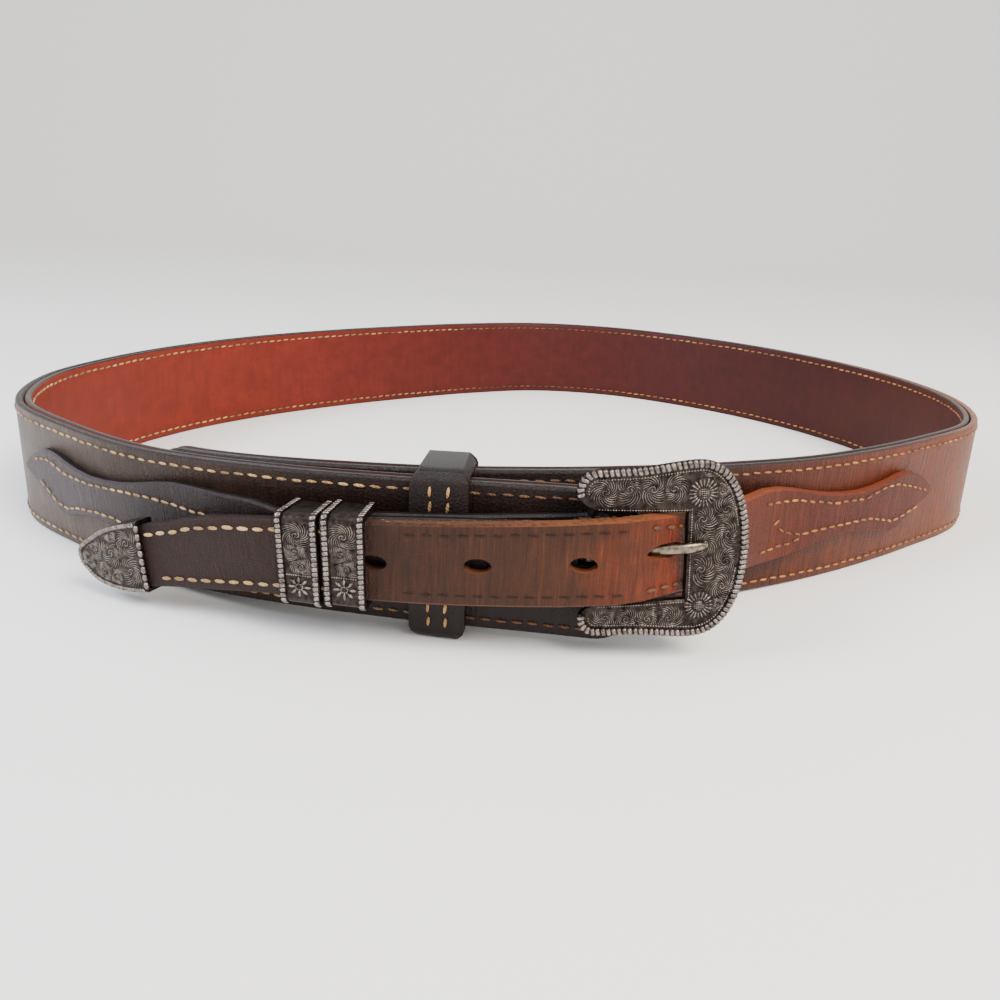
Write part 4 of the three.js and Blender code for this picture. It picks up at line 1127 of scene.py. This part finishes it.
def stitch_row(heap, surface, row, pitch=3.9, long=3.0, thick=0.8, gap=(0, 0)):
    line = Line(row)
    for k in range(int(line.length / pitch)):
        spot, start, end = line.at((k + 0.5) * pitch)
        if gap[0] < spot.x < gap[1]:
            continue
        heading = Matrix.Rotation(chance.uniform(0.02, 0.12), 2) @ (end - start).normalized()
        spot.y += chance.uniform(-0.12, 0.12)
        front, back = spot + heading, spot - heading
        at = surface(spot.x, spot.y, 0.1)
        ahead = (surface(front.x, front.y, 0.1) - surface(back.x, back.y, 0.1)).normalized()
        out = (surface(spot.x, spot.y, 1) - surface(spot.x, spot.y, 0)).normalized()
        size = (long * chance.uniform(0.92, 1.05), thick * chance.uniform(0.9, 1.1), thick * 0.8)
        put_ball(heap, stitch_ball, at, ahead, out, size)


def on_height(run, rows, offset):
    """Rows charted by the base's distance and the height above the floor, as rows on a billet."""
    return [(d - offset, z - rise_at(run.at(d - offset)[0])) for d, z in rows]


def beside(run, out, way=1):
    """The surface at a distance out of a run, as a function of (along, height, above it)."""
    return lambda d, height, w: place(run, d, out + way * w, height)


base_outside, base_inside = beside(base_run, 0), beside(base_run, -base_thick, -1)
billet_outside, tail_outside = beside(billet_run, billet_thick / 2), beside(tail_run, tail_thick / 2)

heap = Heap()
for height in (TOP_ROW, FOOT_ROW):
    for surface in (base_outside, base_inside):
        stitch_row(heap, surface, [(covered_end + 4, height), (base_run.length - 10, height)])
finished(heap, "base_stitches", thread)

heap = Heap()
left_top = [
    (191, 24.9), (184.8, 26.5), (180.6, 26.5), (173.6, 24.8), (167.9, 24.6), (159.3, 24.6), (150.6, 25.5),
    (142, 26.4), (135, 26.9), (124, 27), (116, 27), (104, 27.6),
]
back_to_billet = left_flare_end - billet_run.length
stitch_row(heap, billet_outside, on_height(billet_run, left_top, back_to_billet), *BILLET_STITCH)
left_low = []
for d, _ in left_top[::-1]:
    foot = flare_foot(left_flare_end - d, billet_mid(d), strap_half(d))
    left_low.append((d - back_to_billet, foot + 2.3))
stitch_row(heap, billet_outside, left_low, *BILLET_STITCH)
finished(heap, "billet_stitches", thread)

heap = Heap()
right_rows = [
    [(890, 22), (908, 26.8), (915, 26.8), (925, 24.5), (938, 25), (955, 27.9), (970, 28.4)],
    [(894, 17.3), (908, 14.5), (919, 17.3), (928, 17.8), (941, 17.6), (951, 16.9), (957.5, 18.6),
     (963.6, 21.3)],
    [(963.6, 21.3), (959.5, 24)],
    [(951, 15.9), (956, 15), (970, 14.2)],
]
for row in right_rows:
    stitch_row(heap, tail_outside, on_height(tail_run, row, right_flare_end), *OVERLAY_STITCH)
tail_finish = tail_run.length - tip_length - 0.5
worn_gap = (tail_at_heel - 11, tail_at_heel + 51)
bare_rows = []
for side in (1, -1):
    row = []
    for d in evenly(flare_length * 1.12, tail_finish, 4):
        over = tail_place(d)
        row.append((d, strap_mid(over) + side * (strap_half(over) - 2.7)))
    stitch_row(heap, tail_outside, row, *TAIL_STITCH, worn_gap)
    bare_rows.append([spot for spot in row if worn_gap[0] < spot[0] < worn_gap[1]])
finished(heap, "tail_stitches", thread)

# where the thread has worn away, dark slots stay in the leather
heap = Heap()
for row in bare_rows:
    stitch_row(heap, tail_outside, row, *BARE_SLOT)
finished(heap, "tail_thread_grooves", billet_leather)

# %% [markdown]
# Where the tail's upper edge is cut raw, fibres of the hide stand off it. Hair curves could make
# thousands, but a hundred or so are enough to break the clean line of the edge. Each is a thin bent
# stroke, set by chance with a fixed seed, so every run gives the same ones.

# %% Loose fibres on the raw edge
FIBRES, FIBRE_WIDTH, FIBRE_HEIGHT = 150, 0.1, 0.08
heap = Heap()
for _ in range(FIBRES):
    start = chance.uniform(tail_at_heel - 12, tail_at_heel + 47)
    over = tail_place(start)
    crest = strap_mid(over) + strap_half(over)

    def raw_edge(d, up, w, out=chance.uniform(-1.3, 1.3), crest=crest):
        return place(tail_run, d, out + w, crest + up)

    reach, lift = chance.uniform(0.6, 2.6) * chance.choice((-1, 1)), chance.uniform(0.1, 0.55)
    bent = [(start + reach * t, -0.3 + lift * math.sin(t * 2.2)) for t in (0, 0.25, 0.5, 0.75, 1)]
    stroke(heap, raw_edge, bent, FIBRE_WIDTH, FIBRE_HEIGHT)
finished(heap, "edge_fibres", thread)

# %% [markdown]
# The loop is a strip of leather whose ends are sewn together, and two upright rows of stitches show on
# its front. They use the same stitch as the straps, on a face that has height first and width second.

# %% Stitches of the leather loop
heap = Heap()
for shift in (-2.2, 2.1):
    def loop_front(height, across, w, shift=shift):
        return place(outer_run, loop_at + shift - across, loop_clear + loop_wall + w, height)

    stitch_row(heap, loop_front, [(0.4, 0), (base_width, 0)], *LOOP_STITCH)
finished(heap, "loop_stitches", loop_thread)

# %% [markdown]
# The belt was photographed as shops do, on plain pale paper that sweeps up behind it without a corner.
# One broad soft light stands above the front, a second one fills from the left, and the pale world
# lights the rest. Soft lights suit leather, because a small lamp would leave hard white spots on it.

# %% Floor, world and lights
SWEEP_FRONT, SWEEP_START, SWEEP_RADIUS, SWEEP_TOP, SWEEP_HALF = -4.0, 1.2, 1.0, 5.0, 4.0
sweep = [(SWEEP_FRONT, 0.0), (0.0, 0.0)]
for turn in range(0, 91, 6):
    angle = math.radians(turn)
    back, rise = SWEEP_START + math.sin(angle) * SWEEP_RADIUS, SWEEP_RADIUS - math.cos(angle) * SWEEP_RADIUS
    sweep.append((back, rise))
sweep.append((SWEEP_START + SWEEP_RADIUS, SWEEP_TOP))
bm = bmesh.new()
wrapped_grid(bm, 1, len(sweep) - 1, lambda i, j: Vector(((i * 2 - 1) * SWEEP_HALF, *sweep[j])))
# gives the belt a quiet pale ground with no shine of its own
paper, tree, shader, _ = new_material("pale_studio_paper")
fill(tree, shader, Base_Color=srgb("#f4f3f1"), Roughness=0.9)
floor = smooth_object(bm, "floor", paper)

world = bpy.data.worlds.new("studio")
bpy.context.scene.world = world
world.use_nodes = True
fill(world.node_tree, world.node_tree.nodes["Background"], Color=srgb("#fbfbfa"), Strength=1.35)


def soft_light(name, at, target, size, power, code):
    data = bpy.data.lights.new(name, "AREA")
    data.shape = "SQUARE"
    data.size = size
    data.energy = power
    data.color = srgb(code)[:3]
    light = linked(name, data)
    light.location = at
    light.rotation_euler = (Vector(target) - Vector(at)).to_track_quat("-Z", "Y").to_euler()
    print("light", name, power, "W")


soft_light("key", (0.45, -0.6, 0.75), (0.02, 0, 0.02), 0.5, 18, "#fff4e8")
soft_light("fill", (-0.7, -0.35, 0.5), (-0.08, -0.05, 0.02), 0.4, 8, "#dfeaff")
